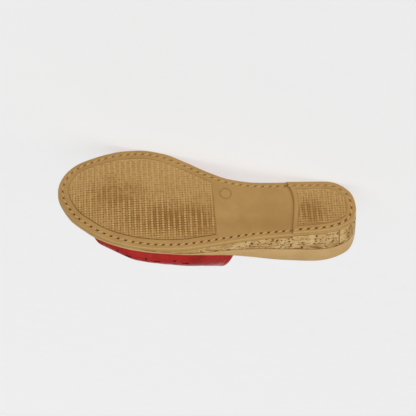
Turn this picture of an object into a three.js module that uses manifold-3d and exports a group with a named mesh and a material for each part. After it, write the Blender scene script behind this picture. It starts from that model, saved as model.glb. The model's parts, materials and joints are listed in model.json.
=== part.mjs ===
// A women's slide sandal for the right foot: a stitched rubber outsole with a low heel, a cork wedge, a
// moulded footbed, a sock insole and one red leather vamp that is open at the toe and at the instep.
// The sandal is drawn standing (X from heel to toe, Y to the medial side, Z up from the ground) and is then
// tipped over, so that it lies with the upper and the edge of the sole on the floor. Millimetres, +Z up.

import * as THREE from "three";
import { ConvexHull } from "three/addons/math/ConvexHull.js";
import { mergeVertices } from "three/addons/utils/BufferGeometryUtils.js";
import Module from "manifold-3d";

// Driving dimensions
const LENGTH = 251;
const SEAT_GAP = 0.3;

// Outline of the tread face: distance of its medial and lateral edge from the heel's axis
const OUTLINE = [
  { x: 0, medial: 0, lateral: 0 },
  { x: 6, medial: 16.2, lateral: -13.0 },
  { x: 24, medial: 24.0, lateral: -20.8 },
  { x: 50, medial: 22.8, lateral: -24.4 },
  { x: 86, medial: 21.2, lateral: -29.0 },
  { x: 106, medial: 22.9, lateral: -33.4 },
  { x: 126, medial: 28.8, lateral: -38.7 },
  { x: 145, medial: 37.0, lateral: -42.4 },
  { x: 164, medial: 44.1, lateral: -43.4 },
  { x: 182, medial: 46.5, lateral: -42.2 },
  { x: 199, medial: 45.0, lateral: -38.8 },
  { x: 214, medial: 41.0, lateral: -33.6 },
  { x: 227, medial: 36.2, lateral: -25.8 },
  { x: 237, medial: 31.4, lateral: -18.2 },
  { x: 245, medial: 24.4, lateral: -8.0 },
  { x: LENGTH, medial: 8.5, lateral: 8.5 },
];

// Heights of the layers at the sole's edge, how deep the footbed is dished between its edges, and how far
// the walls lean out on each side, in degrees
const PROFILE = [
  { x: 0, ground: 2.2, outsole: 4.4, cork: 28.6, rim: 43.8, dish: 0, medialLean: 7, lateralLean: 7 },
  { x: 8, ground: 2.2, outsole: 4.4, cork: 28.4, rim: 44.8, dish: 5.5, medialLean: 7.4, lateralLean: 11.6 },
  { x: 25, ground: 2.2, outsole: 4.5, cork: 27.6, rim: 45.2, dish: 8, medialLean: 7.5, lateralLean: 12.4 },
  { x: 54, ground: 2.2, outsole: 5.0, cork: 23.6, rim: 40.8, dish: 6.5, medialLean: 7.5, lateralLean: 12.4 },
  { x: 72, ground: 2.6, outsole: 5.8, cork: 20.8, rim: 36.0, dish: 5, medialLean: 8, lateralLean: 12.6 },
  { x: 90, ground: 2.8, outsole: 6.2, cork: 18.0, rim: 29.8, dish: 3.5, medialLean: 9, lateralLean: 12.6 },
  { x: 105, ground: 2.2, outsole: 5.6, cork: 15.4, rim: 23.8, dish: 2.4, medialLean: 10, lateralLean: 12 },
  { x: 118, ground: 1.2, outsole: 4.6, cork: 12.8, rim: 18.6, dish: 1.8, medialLean: 10, lateralLean: 12 },
  { x: 130, ground: 0.3, outsole: 3.9, cork: 10.4, rim: 13.6, dish: 1.4, medialLean: 10, lateralLean: 12 },
  { x: 146, ground: 0, outsole: 3.6, cork: 7.6, rim: 9.2, dish: 1.2, medialLean: 10, lateralLean: 12 },
  { x: 158, ground: 0, outsole: 3.6, cork: 5.6, rim: 7.5, dish: 1, medialLean: 10, lateralLean: 12 },
  { x: 168, ground: 0, outsole: 3.6, cork: 4.6, rim: 7.0, dish: 1, medialLean: 10, lateralLean: 12 },
  { x: 190, ground: 0, outsole: 3.6, cork: 3.6, rim: 6.7, dish: 1, medialLean: 10, lateralLean: 11 },
  { x: 212, ground: 0, outsole: 3.6, cork: 3.6, rim: 6.8, dish: 1, medialLean: 10, lateralLean: 10 },
  { x: 232, ground: 1.6, outsole: 5.0, cork: 5.0, rim: 8.1, dish: 0.8, medialLean: 8, lateralLean: 8 },
  { x: LENGTH, ground: 5, outsole: 8.2, cork: 8.2, rim: 11.2, dish: 0, medialLean: 6, lateralLean: 6 },
];

// Heel lift: its breast is a shallow curve, further forward on the medial side
const LIFT = { breastLateral: 53, breastMiddle: 52, breastMedial: 58.8, inset: 0.2, sunk: 0.6 };

// Cork wedge and what lies on it: the dish is flat in the middle and rises towards its edges by this power
const WEDGE_FRONT = 166;
const FOOTBED_INLAY = 2;
const DISH_POWER = 4;
const INSOLE = { inset: 4.4, thickness: 1.6 };

// Vamp: front and rear cut at the feather line and at the crown, and the arch of its sections
const VAMP = { wall: 2.2, inset: 0.6, arch: 2.25, crownShift: 5, medialBulge: 0.61 };
const VAMP_CUT = {
  front: { lateral: 219, crown: 204, medial: 221 },
  rear: { lateral: 101, crown: 117, medial: 99 },
};
const VAMP_SECTION = [
  { x: 90, crown: 64, bulge: 2 },
  { x: 117, crown: 57, bulge: 5 },
  { x: 150, crown: 46, bulge: 10 },
  { x: 180, crown: 37, bulge: 11 },
  { x: 205, crown: 30, bulge: 5.6 },
  { x: 230, crown: 24, bulge: 2 },
];

// The way the lying sandal faces the floor, in the standing frame
const FLOOR_SIDE = new THREE.Vector3(-0.143, 0.981, -0.13);

// Fineness of the faceted surfaces
const FINE = { soleRows: 44, soleColumns: 6, vampRows: 18, vampColumns: 26, liftRows: 14, liftColumns: 8 };
const SLOPE_STEP = { outline: 1e-6, skin: 1e-3 };
const SAME_POINT = 1e-3;

// Materials
const finish = (color, roughness) => new THREE.MeshStandardMaterial({ color, roughness, metalness: 0 });
const RUBBER = finish(0xb58c55, 0.6);
const CORK = finish(0xc2a06a, 0.85);
const FOOTBED_LEATHER = finish(0xbf9660, 0.55);
const SOCK_LEATHER = finish(0xb98f5e, 0.6);
const RED_LEATHER = finish(0xa8241f, 0.45);

// Tables: a smooth curve through the rows that never overshoots them, read by column name
function curveOf(table, position) {
  const at = table.map(position);
  const columns = Object.keys(table[0]).filter((name) => name !== "x");
  const rise = (name, i) => (table[i + 1][name] - table[i][name]) / (at[i + 1] - at[i]);
  const slope = (name, i) => {
    if (i === 0) return rise(name, 0);
    if (i === table.length - 1) return rise(name, i - 1);
    const [before, after] = [rise(name, i - 1), rise(name, i)];
    return before * after > 0 ? (2 * before * after) / (before + after) : 0;
  };
  const slopes = Object.fromEntries(columns.map((name) => [name, table.map((_, i) => slope(name, i))]));
  return (where) => {
    const next = at.findIndex((end, i) => i > 0 && where <= end);
    const i = (next < 0 ? table.length - 1 : next) - 1;
    const span = at[i + 1] - at[i];
    const t = (where - at[i]) / span;
    const blend = (name) =>
      table[i][name] * (1 + 2 * t) * (1 - t) ** 2 +
      table[i + 1][name] * t * t * (3 - 2 * t) +
      span * t * (1 - t) * (slopes[name][i] * (1 - t) - slopes[name][i + 1] * t);
    return Object.fromEntries(columns.map((name) => [name, blend(name)]));
  };
}

// A station runs from 0 at the heel's tip to 1 at the toe's, closer together where the ends turn round
const stationAt = (x) => Math.acos(1 - (2 * x) / LENGTH) / Math.PI;
const lengthAt = (station) => (LENGTH * (1 - Math.cos(Math.PI * station))) / 2;
const outlineAt = curveOf(OUTLINE, (row) => stationAt(row.x));
const profileAt = curveOf(PROFILE, (row) => row.x);
const vampSectionAt = curveOf(VAMP_SECTION, (row) => row.x);

const MEDIAL = "medial";
const LATERAL = "lateral";

// A point of the outline, moved outwards along the outline's normal
function rimPoint(station, side, outwards) {
  const before = Math.max(station - SLOPE_STEP.outline, 0);
  const after = Math.min(station + SLOPE_STEP.outline, 1);
  const along = new THREE.Vector2(
    lengthAt(after) - lengthAt(before),
    outlineAt(after)[side] - outlineAt(before)[side],
  ).normalize();
  const turn = side === MEDIAL ? 1 : -1;
  return new THREE.Vector2(
    lengthAt(station) - turn * along.y * outwards,
    outlineAt(station)[side] + turn * along.x * outwards,
  );
}

// The sole's leaning wall at a height above the ground, less an inset
function wallPoint(station, side, height, inset = 0) {
  const lean = profileAt(lengthAt(station))[`${side}Lean`];
  return rimPoint(station, side, height * Math.tan(THREE.MathUtils.degToRad(lean)) - inset);
}

// A point between the two walls: across runs from -1 at the lateral edge to 1 at the medial edge
function solePoint(station, across, edgeHeight, height, inset = 0) {
  const flat = wallPoint(station, LATERAL, edgeHeight, inset);
  flat.lerp(wallPoint(station, MEDIAL, edgeHeight, inset), (across + 1) / 2);
  return new THREE.Vector3(flat.x, flat.y, height);
}

// The points of a surface, row by row, each a function of two shares from 0 to 1
function gridOf(surface, rows, columns) {
  const points = [];
  for (let i = 0; i <= rows; i++) {
    for (let j = 0; j <= columns; j++) {
      points.push(surface(i / rows, j / columns));
    }
  }
  return points;
}

// A closed body between a lower and an upper surface
function slab(under, over, rows, columns) {
  const width = columns + 1;
  const points = [...gridOf(under, rows, columns), ...gridOf(over, rows, columns)];
  const low = (i, j) => i * width + j;
  const high = (i, j) => (rows + 1) * width + low(i, j);
  const faces = [];
  const quad = (a, b, c, d) => faces.push(a, b, c, a, c, d);
  for (let i = 0; i < rows; i++) {
    for (let j = 0; j < columns; j++) {
      quad(high(i, j), high(i + 1, j), high(i + 1, j + 1), high(i, j + 1));
      quad(low(i, j), low(i, j + 1), low(i + 1, j + 1), low(i + 1, j));
    }
    quad(low(i, 0), low(i + 1, 0), high(i + 1, 0), high(i, 0));
    quad(low(i + 1, columns), low(i, columns), high(i, columns), high(i + 1, columns));
  }
  for (let j = 0; j < columns; j++) {
    quad(low(0, j + 1), low(0, j), high(0, j), high(0, j + 1));
    quad(low(rows, j), low(rows, j + 1), high(rows, j + 1), high(rows, j));
  }
  const body = new THREE.BufferGeometry().setFromPoints(points).setIndex(faces);
  return withoutSlivers(mergeVertices(body, SAME_POINT));
}

// Drops the triangles that fold to a line where a grid runs together at a tip
function withoutSlivers(body) {
  const index = body.getIndex().array;
  const kept = [];
  for (let i = 0; i < index.length; i += 3) {
    const [a, b, c] = index.slice(i, i + 3);
    if (a !== b && b !== c && c !== a) kept.push(a, b, c);
  }
  return body.setIndex(kept);
}

// Joining and cutting of closed bodies
const wasm = await Module();
wasm.setup();

function toSolid(body) {
  const vertProperties = Float32Array.from(body.getAttribute("position").array);
  const triVerts = Uint32Array.from(body.getIndex().array);
  return new wasm.Manifold(new wasm.Mesh({ numProp: 3, vertProperties, triVerts }));
}

function toGeometry(solid) {
  const { vertProperties, triVerts } = solid.getMesh();
  const body = new THREE.BufferGeometry();
  body.setAttribute("position", new THREE.BufferAttribute(vertProperties, 3));
  return body.setIndex(new THREE.BufferAttribute(triVerts, 1));
}

const acrossOf = (share) => 2 * share - 1;

// Outsole: one rubber sheet with a shallow waist and toe spring, and the heel lift moulded onto it
function outsole() {
  const sheet = slab(
    (along, share) => {
      const { ground } = profileAt(lengthAt(along));
      return solePoint(along, acrossOf(share), ground, ground);
    },
    (along, share) => {
      const { outsole: top } = profileAt(lengthAt(along));
      return solePoint(along, acrossOf(share), top, top);
    },
    FINE.soleRows,
    FINE.soleColumns,
  );
  return toGeometry(toSolid(sheet).add(toSolid(heelLift())));
}

function heelLift() {
  const breast = (across) => {
    const end = across > 0 ? LIFT.breastMedial : LIFT.breastLateral;
    return stationAt(LIFT.breastMiddle + (end - LIFT.breastMiddle) * across * across);
  };
  const face = (height) => (along, share) => {
    const across = acrossOf(share);
    return solePoint(along * breast(across), across, height, height, LIFT.inset);
  };
  const top = profileAt(0).ground + LIFT.sunk;
  return slab(face(0), face(top), FINE.liftRows, FINE.liftColumns);
}

// Cork wedge: from the heel to a thin front edge under the ball of the foot
function corkTop(along, across) {
  const { cork, outsole: floor, dish } = profileAt(lengthAt(along));
  const sunk = Math.min(FOOTBED_INLAY, dish, Math.max(cork - floor - FOOTBED_INLAY, 0));
  return { edge: cork, height: cork - sunk * (1 - across ** DISH_POWER) };
}

function corkWedge() {
  const front = stationAt(WEDGE_FRONT);
  return slab(
    (share, side) => {
      const { outsole: floor } = profileAt(lengthAt(share * front));
      return solePoint(share * front, acrossOf(side), floor + SEAT_GAP, floor + SEAT_GAP);
    },
    (share, side) => {
      const { edge, height } = corkTop(share * front, acrossOf(side));
      return solePoint(share * front, acrossOf(side), edge, height);
    },
    FINE.soleRows,
    FINE.soleColumns,
  );
}

// Footbed: dished between its edges, on the wedge at the back and on the outsole at the front
function footbedTop(along, across) {
  const { rim, dish } = profileAt(lengthAt(along));
  return rim - dish * (1 - across ** DISH_POWER);
}

function footbed() {
  return slab(
    (along, share) => {
      const { edge, height } = corkTop(along, acrossOf(share));
      return solePoint(along, acrossOf(share), edge + SEAT_GAP, height + SEAT_GAP);
    },
    (along, share) => {
      const { rim } = profileAt(lengthAt(along));
      return solePoint(along, acrossOf(share), rim, footbedTop(along, acrossOf(share)));
    },
    FINE.soleRows,
    FINE.soleColumns,
  );
}

// Sock insole: a thin cover over the footbed, cut to an outline inside the vamp's walls
function insole() {
  const cover = (lift) => (along, share) => {
    const { rim } = profileAt(lengthAt(along));
    return solePoint(along, acrossOf(share), rim, footbedTop(along, acrossOf(share)) + SEAT_GAP + lift);
  };
  const cutter = (height) => (along, share) => {
    const { rim } = profileAt(lengthAt(along));
    return solePoint(along, acrossOf(share), rim, height, INSOLE.inset);
  };
  const sheet = slab(cover(0), cover(INSOLE.thickness), FINE.soleRows, FINE.soleColumns);
  const blank = slab(cutter(0), cutter(LENGTH), FINE.soleRows, 1);
  return toGeometry(toSolid(sheet).intersect(toSolid(blank)));
}

// Vamp: arched sections from feather line to feather line, between a front and a rear cut
const signedPower = (value, power) => Math.sign(value) * Math.abs(value) ** power;

function vampSkin(along, share) {
  const angle = Math.PI * share;
  const rise = Math.sin(angle);
  const cut = ({ lateral, crown, medial }) => {
    const feather = THREE.MathUtils.lerp(lateral, medial, share);
    return THREE.MathUtils.lerp(feather, crown, rise);
  };
  const x = THREE.MathUtils.lerp(cut(VAMP_CUT.rear), cut(VAMP_CUT.front), along);
  const station = stationAt(x);
  const { rim } = profileAt(x);
  const { crown, bulge } = vampSectionAt(x);
  const lateral = wallPoint(station, LATERAL, rim, VAMP.inset);
  const medial = wallPoint(station, MEDIAL, rim, VAMP.inset);
  const middle = (medial.y + lateral.y) / 2;
  const half = (medial.y - lateral.y) / 2;
  const swell = bulge * Math.sin(2 * angle) * Math.cos(angle) ** 2 * (share < 0.5 ? 1 : VAMP.medialBulge);
  return new THREE.Vector3(
    x,
    middle - half * signedPower(Math.cos(angle), 2 / VAMP.arch) + VAMP.crownShift * rise ** 2 - swell,
    rim + SEAT_GAP + crown * rise ** (2 / VAMP.arch),
  );
}

// The vamp's inner face lies one wall inside its skin, square to it, and ends level with the feather line
function vampLining(along, share) {
  const step = SLOPE_STEP.skin;
  const here = vampSkin(along, share);
  const slope = (low, high) => vampSkin(...high).sub(vampSkin(...low));
  const lengthwise = slope([along - step, share], [along + step, share]);
  const [before, after] = [Math.max(share - step, 0), Math.min(share + step, 1)];
  const crosswise = slope([along, before], [along, after]);
  const inwards = new THREE.Vector3().crossVectors(crosswise, lengthwise).normalize();
  const inner = here.clone().addScaledVector(inwards, VAMP.wall);
  const feather = share === 0 || share === 1;
  return feather ? inner.setZ(here.z) : inner;
}

function vamp() {
  return slab(vampLining, vampSkin, FINE.vampRows, FINE.vampColumns);
}

// Assembly, in the standing frame
const sandal = new THREE.Group();
const pieces = [
  ["outsole", outsole(), RUBBER],
  ["cork_wedge", corkWedge(), CORK],
  ["footbed", footbed(), FOOTBED_LEATHER],
  ["insole", insole(), SOCK_LEATHER],
  ["upper", vamp(), RED_LEATHER],
];
for (const [name, geometry, material] of pieces) {
  const mesh = new THREE.Mesh(geometry, material);
  mesh.name = name;
  sandal.add(mesh);
}

// Lays the sandal on the facet of its hull that faces the floor side, with its length along X
function layDown(group, floorSide) {
  const hull = new ConvexHull().setFromObject(group);
  const towards = floorSide.clone().normalize();
  const nearest = (best, face) => (face.normal.dot(towards) > best.normal.dot(towards) ? face : best);
  const { normal } = hull.faces.reduce(nearest);
  const tip = new THREE.Quaternion().setFromUnitVectors(normal, new THREE.Vector3(0, 0, -1));
  const toe = new THREE.Vector3(1, 0, 0).applyQuaternion(tip);
  const turn = new THREE.Quaternion().setFromAxisAngle(new THREE.Vector3(0, 0, 1), -Math.atan2(toe.y, toe.x));
  group.quaternion.copy(turn.multiply(tip));
  const box = new THREE.Box3().setFromObject(group, true);
  const middle = box.getCenter(new THREE.Vector3());
  group.position.sub(new THREE.Vector3(middle.x, middle.y, box.min.z));
}
layDown(sandal, FLOOR_SIDE);

const part = new THREE.Group();
part.add(sandal);
export default part;
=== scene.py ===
"""Looks of a slide sandal for the right foot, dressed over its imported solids.

The sandal is drawn standing, in millimetres: X from heel to toe, Y to the medial side and Z up from the
ground. Each finished piece is then laid on its medial side, in metres, where its solid lies in the row frame.
"""

import json
import logging
import math
from abc import ABC, abstractmethod
from collections.abc import Sequence
from dataclasses import dataclass
from enum import Enum

import bmesh
import bpy
import numpy as np
from mathutils import Matrix, Vector

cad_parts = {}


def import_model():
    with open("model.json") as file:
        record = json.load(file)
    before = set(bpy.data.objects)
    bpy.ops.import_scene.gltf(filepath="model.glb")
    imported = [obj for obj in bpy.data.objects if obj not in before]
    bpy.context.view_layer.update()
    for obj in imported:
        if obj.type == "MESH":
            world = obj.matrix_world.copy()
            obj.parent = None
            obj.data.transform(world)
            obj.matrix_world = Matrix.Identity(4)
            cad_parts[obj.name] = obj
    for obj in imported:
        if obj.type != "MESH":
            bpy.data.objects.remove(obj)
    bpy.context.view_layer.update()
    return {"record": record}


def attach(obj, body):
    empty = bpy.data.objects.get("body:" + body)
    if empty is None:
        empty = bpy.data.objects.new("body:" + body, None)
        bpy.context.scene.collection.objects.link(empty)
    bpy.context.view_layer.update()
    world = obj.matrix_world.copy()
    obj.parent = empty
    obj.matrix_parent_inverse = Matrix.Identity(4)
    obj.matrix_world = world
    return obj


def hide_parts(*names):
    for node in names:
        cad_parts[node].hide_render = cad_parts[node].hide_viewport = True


log = logging.getLogger("sandal")

Array = np.ndarray
Numbers = np.ndarray | float
Mesh = bpy.types.Mesh
Material = bpy.types.Material
Socket = bpy.types.NodeSocket
Color = tuple[float, float, float, float]
Place = tuple[float, float, float]
Span = tuple[float, float]

MM = 0.001
BODY = "root"

# Numbers kept on a mesh: painted shade below 0 and worn paleness above it, which on the tread's beads is also
# painted highlight; share of tread panel, share of the cork's height
RELIEF = "relief"
PANEL = "panel"
RISE = "rise"

# Vectors kept on the points of a path
OUTWARD = "outward"
LENGTHWISE = "lengthwise"
OVAL = "oval"
DOWN = np.array([0.0, 0.0, -1.0])

EDGE_FACETS = 3
EDGE_WEAR = 0.6
# Painted shade where two layers meet, and on the heel's breast
SEAM_SHADE = 0.9
BREAST_SHADE = 0.45


class Side(Enum):
    """The two long sides of the sole, with the sign of their outward direction."""

    LATERAL = -1
    MEDIAL = 1


class Slot(Enum):
    """The record's material slots."""

    RUBBER = "outsole_rubber"
    CORK = "cork"
    FOOTBED = "footbed_cover"
    SOCK = "sock_leather"
    RED = "red_leather"


class Size(Enum):
    """The kinds of named input that a node recipe takes."""

    LENGTH = "NodeSocketFloat"
    COUNT = "NodeSocketInt"
    VECTOR = "NodeSocketVector"
    MATERIAL = "NodeSocketMaterial"
    OBJECT = "NodeSocketObject"


@dataclass(frozen=True)
class EdgeRow:
    """One row of the tread's outline: how far its edges are from the heel's axis."""

    x: float
    medial: float
    lateral: float


@dataclass(frozen=True)
class LayerRow:
    """One row of the sole's side view: layer heights, the dish's depth and the walls' lean in degrees."""

    x: float
    ground: float
    outsole: float
    cork: float
    rim: float
    dish: float
    medial_lean: float
    lateral_lean: float


@dataclass(frozen=True)
class ArchRow:
    """One row of the vamp's side view: how high it arches and how far its sides swell."""

    x: float
    crown: float
    bulge: float


SOLE_EDGE = (
    EdgeRow(0, 0, 0),
    EdgeRow(6, 16.2, -13.0),
    EdgeRow(24, 24.0, -20.8),
    EdgeRow(50, 22.8, -24.4),
    EdgeRow(86, 21.2, -29.0),
    EdgeRow(106, 22.9, -33.4),
    EdgeRow(126, 28.8, -38.7),
    EdgeRow(145, 37.0, -42.4),
    EdgeRow(164, 44.1, -43.4),
    EdgeRow(182, 46.5, -42.2),
    EdgeRow(199, 45.0, -38.8),
    EdgeRow(214, 41.0, -33.6),
    EdgeRow(227, 36.2, -25.8),
    EdgeRow(237, 31.4, -18.2),
    EdgeRow(245, 24.4, -8.0),
    EdgeRow(251, 8.5, 8.5),
)

SOLE_LAYERS = (
    LayerRow(0, 2.2, 4.4, 28.6, 43.8, 0, 7, 7),
    LayerRow(8, 2.2, 4.4, 28.4, 44.8, 5.5, 7.4, 11.6),
    LayerRow(25, 2.2, 4.5, 27.6, 45.2, 8, 7.5, 12.4),
    LayerRow(54, 2.2, 5.0, 23.6, 40.8, 6.5, 7.5, 12.4),
    LayerRow(72, 2.6, 5.8, 20.8, 36.0, 5, 8, 12.6),
    LayerRow(90, 2.8, 6.2, 18.0, 29.8, 3.5, 9, 12.6),
    LayerRow(105, 2.2, 5.6, 15.4, 23.8, 2.4, 10, 12),
    LayerRow(118, 1.2, 4.6, 12.8, 18.6, 1.8, 10, 12),
    LayerRow(130, 0.3, 3.9, 10.4, 13.6, 1.4, 10, 12),
    LayerRow(146, 0, 3.6, 7.6, 9.2, 1.2, 10, 12),
    LayerRow(158, 0, 3.6, 5.6, 7.5, 1, 10, 12),
    LayerRow(168, 0, 3.6, 4.6, 7.0, 1, 10, 12),
    LayerRow(190, 0, 3.6, 3.6, 6.7, 1, 10, 11),
    LayerRow(212, 0, 3.6, 3.6, 6.8, 1, 10, 10),
    LayerRow(232, 1.6, 5.0, 5.0, 8.1, 0.8, 8, 8),
    LayerRow(251, 5, 8.2, 8.2, 11.2, 0, 6, 6),
)

VAMP_ARCH = (
    ArchRow(90, 64, 2),
    ArchRow(117, 57, 5),
    ArchRow(150, 46, 10),
    ArchRow(180, 37, 11),
    ArchRow(205, 30, 5.6),
    ArchRow(230, 24, 2),
)


def srgb(code: int) -> Color:
    """Turns a colour code, eight bits each for red, green and blue, into an opaque linear colour."""
    shares = [((code >> shift) & 255) / 255 for shift in (16, 8, 0)]
    return (*(s / 12.92 if s <= 0.04045 else ((s + 0.055) / 1.055) ** 2.4 for s in shares), 1.0)


def ease(value: Array, low: float, high: float) -> Array:
    """Rises smoothly from 0 where a value is at low to 1 where it is at high."""
    share = np.clip((value - low) / (high - low), 0, 1)
    return share * share * (3 - 2 * share)


def rounding(distance: Array, radius: float) -> Array:
    """How far a face falls back at a distance from a rounded edge, 0 beyond the edge's radius."""
    short = np.clip(radius - distance, 0, radius)
    return radius - np.sqrt(radius * radius - short * short)


def mixed(low: Numbers, high: Numbers, share: Numbers) -> Numbers:
    """Goes from low to high by a share."""
    return low + (high - low) * share


def raised(flat: Array, height: Numbers) -> Array:
    """Adds a height to points that have X and Y."""
    return np.concatenate([flat, np.broadcast_to(height, flat.shape[:-1])[..., None]], -1)


class SmoothTable:
    """A smooth curve through rows of numbers that never overshoots them."""

    def __init__(self, at: Sequence[float], values: Sequence[float]) -> None:
        """Works out the curve's slope at each row.

        Args:
            at: Position of each row, rising.
            values: Value of each row.
        """
        self.at = np.array(at, float)
        self.values = np.array(values, float)
        rise = np.diff(self.values) / np.diff(self.at)
        product = rise[:-1] * rise[1:]
        total = rise[:-1] + rise[1:]
        turning = product <= 0
        inner = np.where(turning, 0, 2 * product / np.where(turning, 1, total))
        self.slopes = np.concatenate([rise[:1], inner, rise[-1:]])

    def __call__(self, where: Numbers) -> Numbers:
        """Reads the curve.

        Args:
            where: Positions to read, held to the table's ends.

        Returns:
            The value at each position.
        """
        spot = np.clip(where, self.at[0], self.at[-1])
        row = np.clip(np.searchsorted(self.at, spot) - 1, 0, len(self.at) - 2)
        span = self.at[row + 1] - self.at[row]
        t = (spot - self.at[row]) / span
        level = self.values[row] * (1 + 2 * t) * (1 - t) ** 2 + self.values[row + 1] * t * t * (3 - 2 * t)
        lean = self.slopes[row] * (1 - t) - self.slopes[row + 1] * t
        return level + span * t * (1 - t) * lean


class SoleForm:
    """The sole's outline and layer heights, read as smooth curves."""

    HOLLOW_POWER = 4
    SINK_MOST = 2.0
    CORK_LEAST = 2.0

    def __init__(self, edges: Sequence[EdgeRow], layers: Sequence[LayerRow]) -> None:
        """Fits the curves.

        Args:
            edges: The tread's outline, heel to toe.
            layers: The side view, heel to toe.
        """
        self.length = edges[-1].x
        stations = self.station(np.array([row.x for row in edges], float))
        self.edge = {
            Side.LATERAL: SmoothTable(stations, [row.lateral for row in edges]),
            Side.MEDIAL: SmoothTable(stations, [row.medial for row in edges]),
        }
        at = [row.x for row in layers]
        self.ground = SmoothTable(at, [row.ground for row in layers])
        self.outsole = SmoothTable(at, [row.outsole for row in layers])
        self.cork = SmoothTable(at, [row.cork for row in layers])
        self.rim = SmoothTable(at, [row.rim for row in layers])
        self.dish = SmoothTable(at, [row.dish for row in layers])
        self.lean = {
            Side.LATERAL: SmoothTable(at, [row.lateral_lean for row in layers]),
            Side.MEDIAL: SmoothTable(at, [row.medial_lean for row in layers]),
        }

    def station(self, x: Numbers) -> Numbers:
        """Share of the way from heel tip to toe tip, closer together where the ends turn round."""
        return np.arccos(np.clip(1 - 2 * x / self.length, -1, 1)) / math.pi

    def reach(self, station: Array) -> Array:
        """Distance of a station from the heel tip."""
        return self.length * (1 - np.cos(math.pi * station)) / 2

    def outline(self, station: Array, side: Side, outwards: Numbers) -> Array:
        """Points of the outline, moved outwards along its normal.

        Args:
            station: Where along the sole.
            side: Which edge.
            outwards: How far to move.

        Returns:
            The points' X and Y on the last axis.
        """
        step = 1e-6
        before = np.maximum(station - step, 0)
        after = np.minimum(station + step, 1)
        run_x = self.reach(after) - self.reach(before)
        run_y = self.edge[side](after) - self.edge[side](before)
        run = np.hypot(run_x, run_y)
        x = self.reach(station) - side.value * run_y / run * outwards
        y = self.edge[side](station) + side.value * run_x / run * outwards
        return np.stack([x, y], -1)

    def wall(self, station: Array, side: Side, height: Numbers, inset: Numbers = 0.0) -> Array:
        """X and Y of points at a height of the leaning side wall, moved inside it by an inset."""
        lean = np.tan(np.radians(self.lean[side](self.reach(station))))
        return self.outline(station, side, height * lean - inset)

    def wall_point(self, station: Array, side: Side, height: Numbers, inset: Numbers) -> Array:
        """Points at a height of the leaning side wall, moved inside it by an inset."""
        return raised(self.wall(station, side, height, inset), height)

    def hollow(self, across: Array) -> Array:
        """Share of the dish's depth at a place across it, 1 over most of the middle and 0 at the edges."""
        return 1 - across**self.HOLLOW_POWER

    def cork_sink(self, x: Array) -> Array:
        """How far the footbed's underside sits in the cork between its edges."""
        room = np.maximum(self.cork(x) - self.outsole(x) - self.CORK_LEAST, 0)
        return np.minimum(np.minimum(self.SINK_MOST, self.dish(x)), room)


@dataclass(frozen=True)
class StandingFrame:
    """The turn and shift from the standing sandal to where it lies, found from two mounts on its tread."""

    turn: Matrix
    origin: Vector

    HEEL_TREAD = (26.0, 1.0)
    BALL_TREAD = (182.0, 3.0)

    @classmethod
    def from_record(cls, record: dict) -> "StandingFrame":
        """Finds the turn and shift from the tread mounts.

        Args:
            record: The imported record.

        Returns:
            The standing frame.
        """
        mounts = {mount["name"]: mount for mount in record["mounts"]}
        heel = Vector(mounts["tread_heel"]["pos_m"])
        ball = Vector(mounts["tread_forefoot"]["pos_m"])
        up = -Vector(mounts["tread_heel"]["axis"]).normalized()
        run = ball - heel
        run = (run - up * run.dot(up)).normalized()
        aside = up.cross(run)
        angle = math.atan2(cls.BALL_TREAD[1] - cls.HEEL_TREAD[1], cls.BALL_TREAD[0] - cls.HEEL_TREAD[0])
        toe = run * math.cos(angle) - aside * math.sin(angle)
        turn = Matrix((toe, up.cross(toe), up)).transposed()
        origin = heel - turn @ Vector((*cls.HEEL_TREAD, 0.0)) * MM
        return cls(turn, origin)

    @property
    def matrix(self) -> Matrix:
        """The whole move, from millimetres standing to metres lying."""
        return Matrix.Translation(self.origin) @ self.turn.to_4x4() @ Matrix.Scale(MM, 4)

    def place(self, point: Place) -> Vector:
        """Where a standing point lies in the row frame."""
        return self.matrix @ Vector(point)


class NodeTree:
    """A node tree under construction."""

    tree: bpy.types.NodeTree

    def feed(self, socket: Socket, value: object) -> None:
        """Links a socket to an output, or sets it to a constant.

        Args:
            socket: The input.
            value: The output or the constant, which may be a colour's code.
        """
        if isinstance(value, Socket):
            self.tree.links.new(value, socket)
        else:
            coded = socket.type == "RGBA" and isinstance(value, int)
            socket.default_value = srgb(value) if coded else value

    def node(self, kind: str, feeds: dict[str, object], **settings: object) -> bpy.types.Node:
        """Adds a node.

        Args:
            kind: The node's type.
            feeds: Constants or outputs for its inputs, by the input's identifier.
            **settings: Values of its properties.

        Returns:
            The node.
        """
        made = self.tree.nodes.new(kind)
        for name, value in settings.items():
            setattr(made, name, value)
        inputs = {socket.identifier: socket for socket in made.inputs}
        for name, value in feeds.items():
            self.feed(inputs[name], value)
        return made

    def out(self, kind: str, output: str, feeds: dict[str, object], **settings: object) -> Socket:
        """Adds a node and gives one of its outputs, by the output's identifier."""
        made = self.node(kind, feeds, **settings)
        return next(socket for socket in made.outputs if socket.identifier == output)

    def math(self, operation: str, *values: object) -> Socket:
        """Works on up to three numbers and gives the result."""
        feeds = dict(zip(("Value", "Value_001", "Value_002"), values))
        return self.out("ShaderNodeMath", "Value", feeds, operation=operation)

    def times(self, first: object, second: object) -> Socket:
        """Multiplies two numbers."""
        return self.math("MULTIPLY", first, second)

    def vector_math(self, operation: str, first: object, second: object, output: str = "Vector") -> Socket:
        """Works on two vectors and gives the result."""
        feeds = {"Vector": first, "Vector_001": second}
        return self.out("ShaderNodeVectorMath", output, feeds, operation=operation)


@dataclass(frozen=True)
class SoftPatch:
    """A soft patch of changed tone, worn in most uses: its middle and half widths on the standing sandal, and
    how much it shows.
    """

    centre: Place
    radii: Place
    strength: float = 1.0


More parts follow.
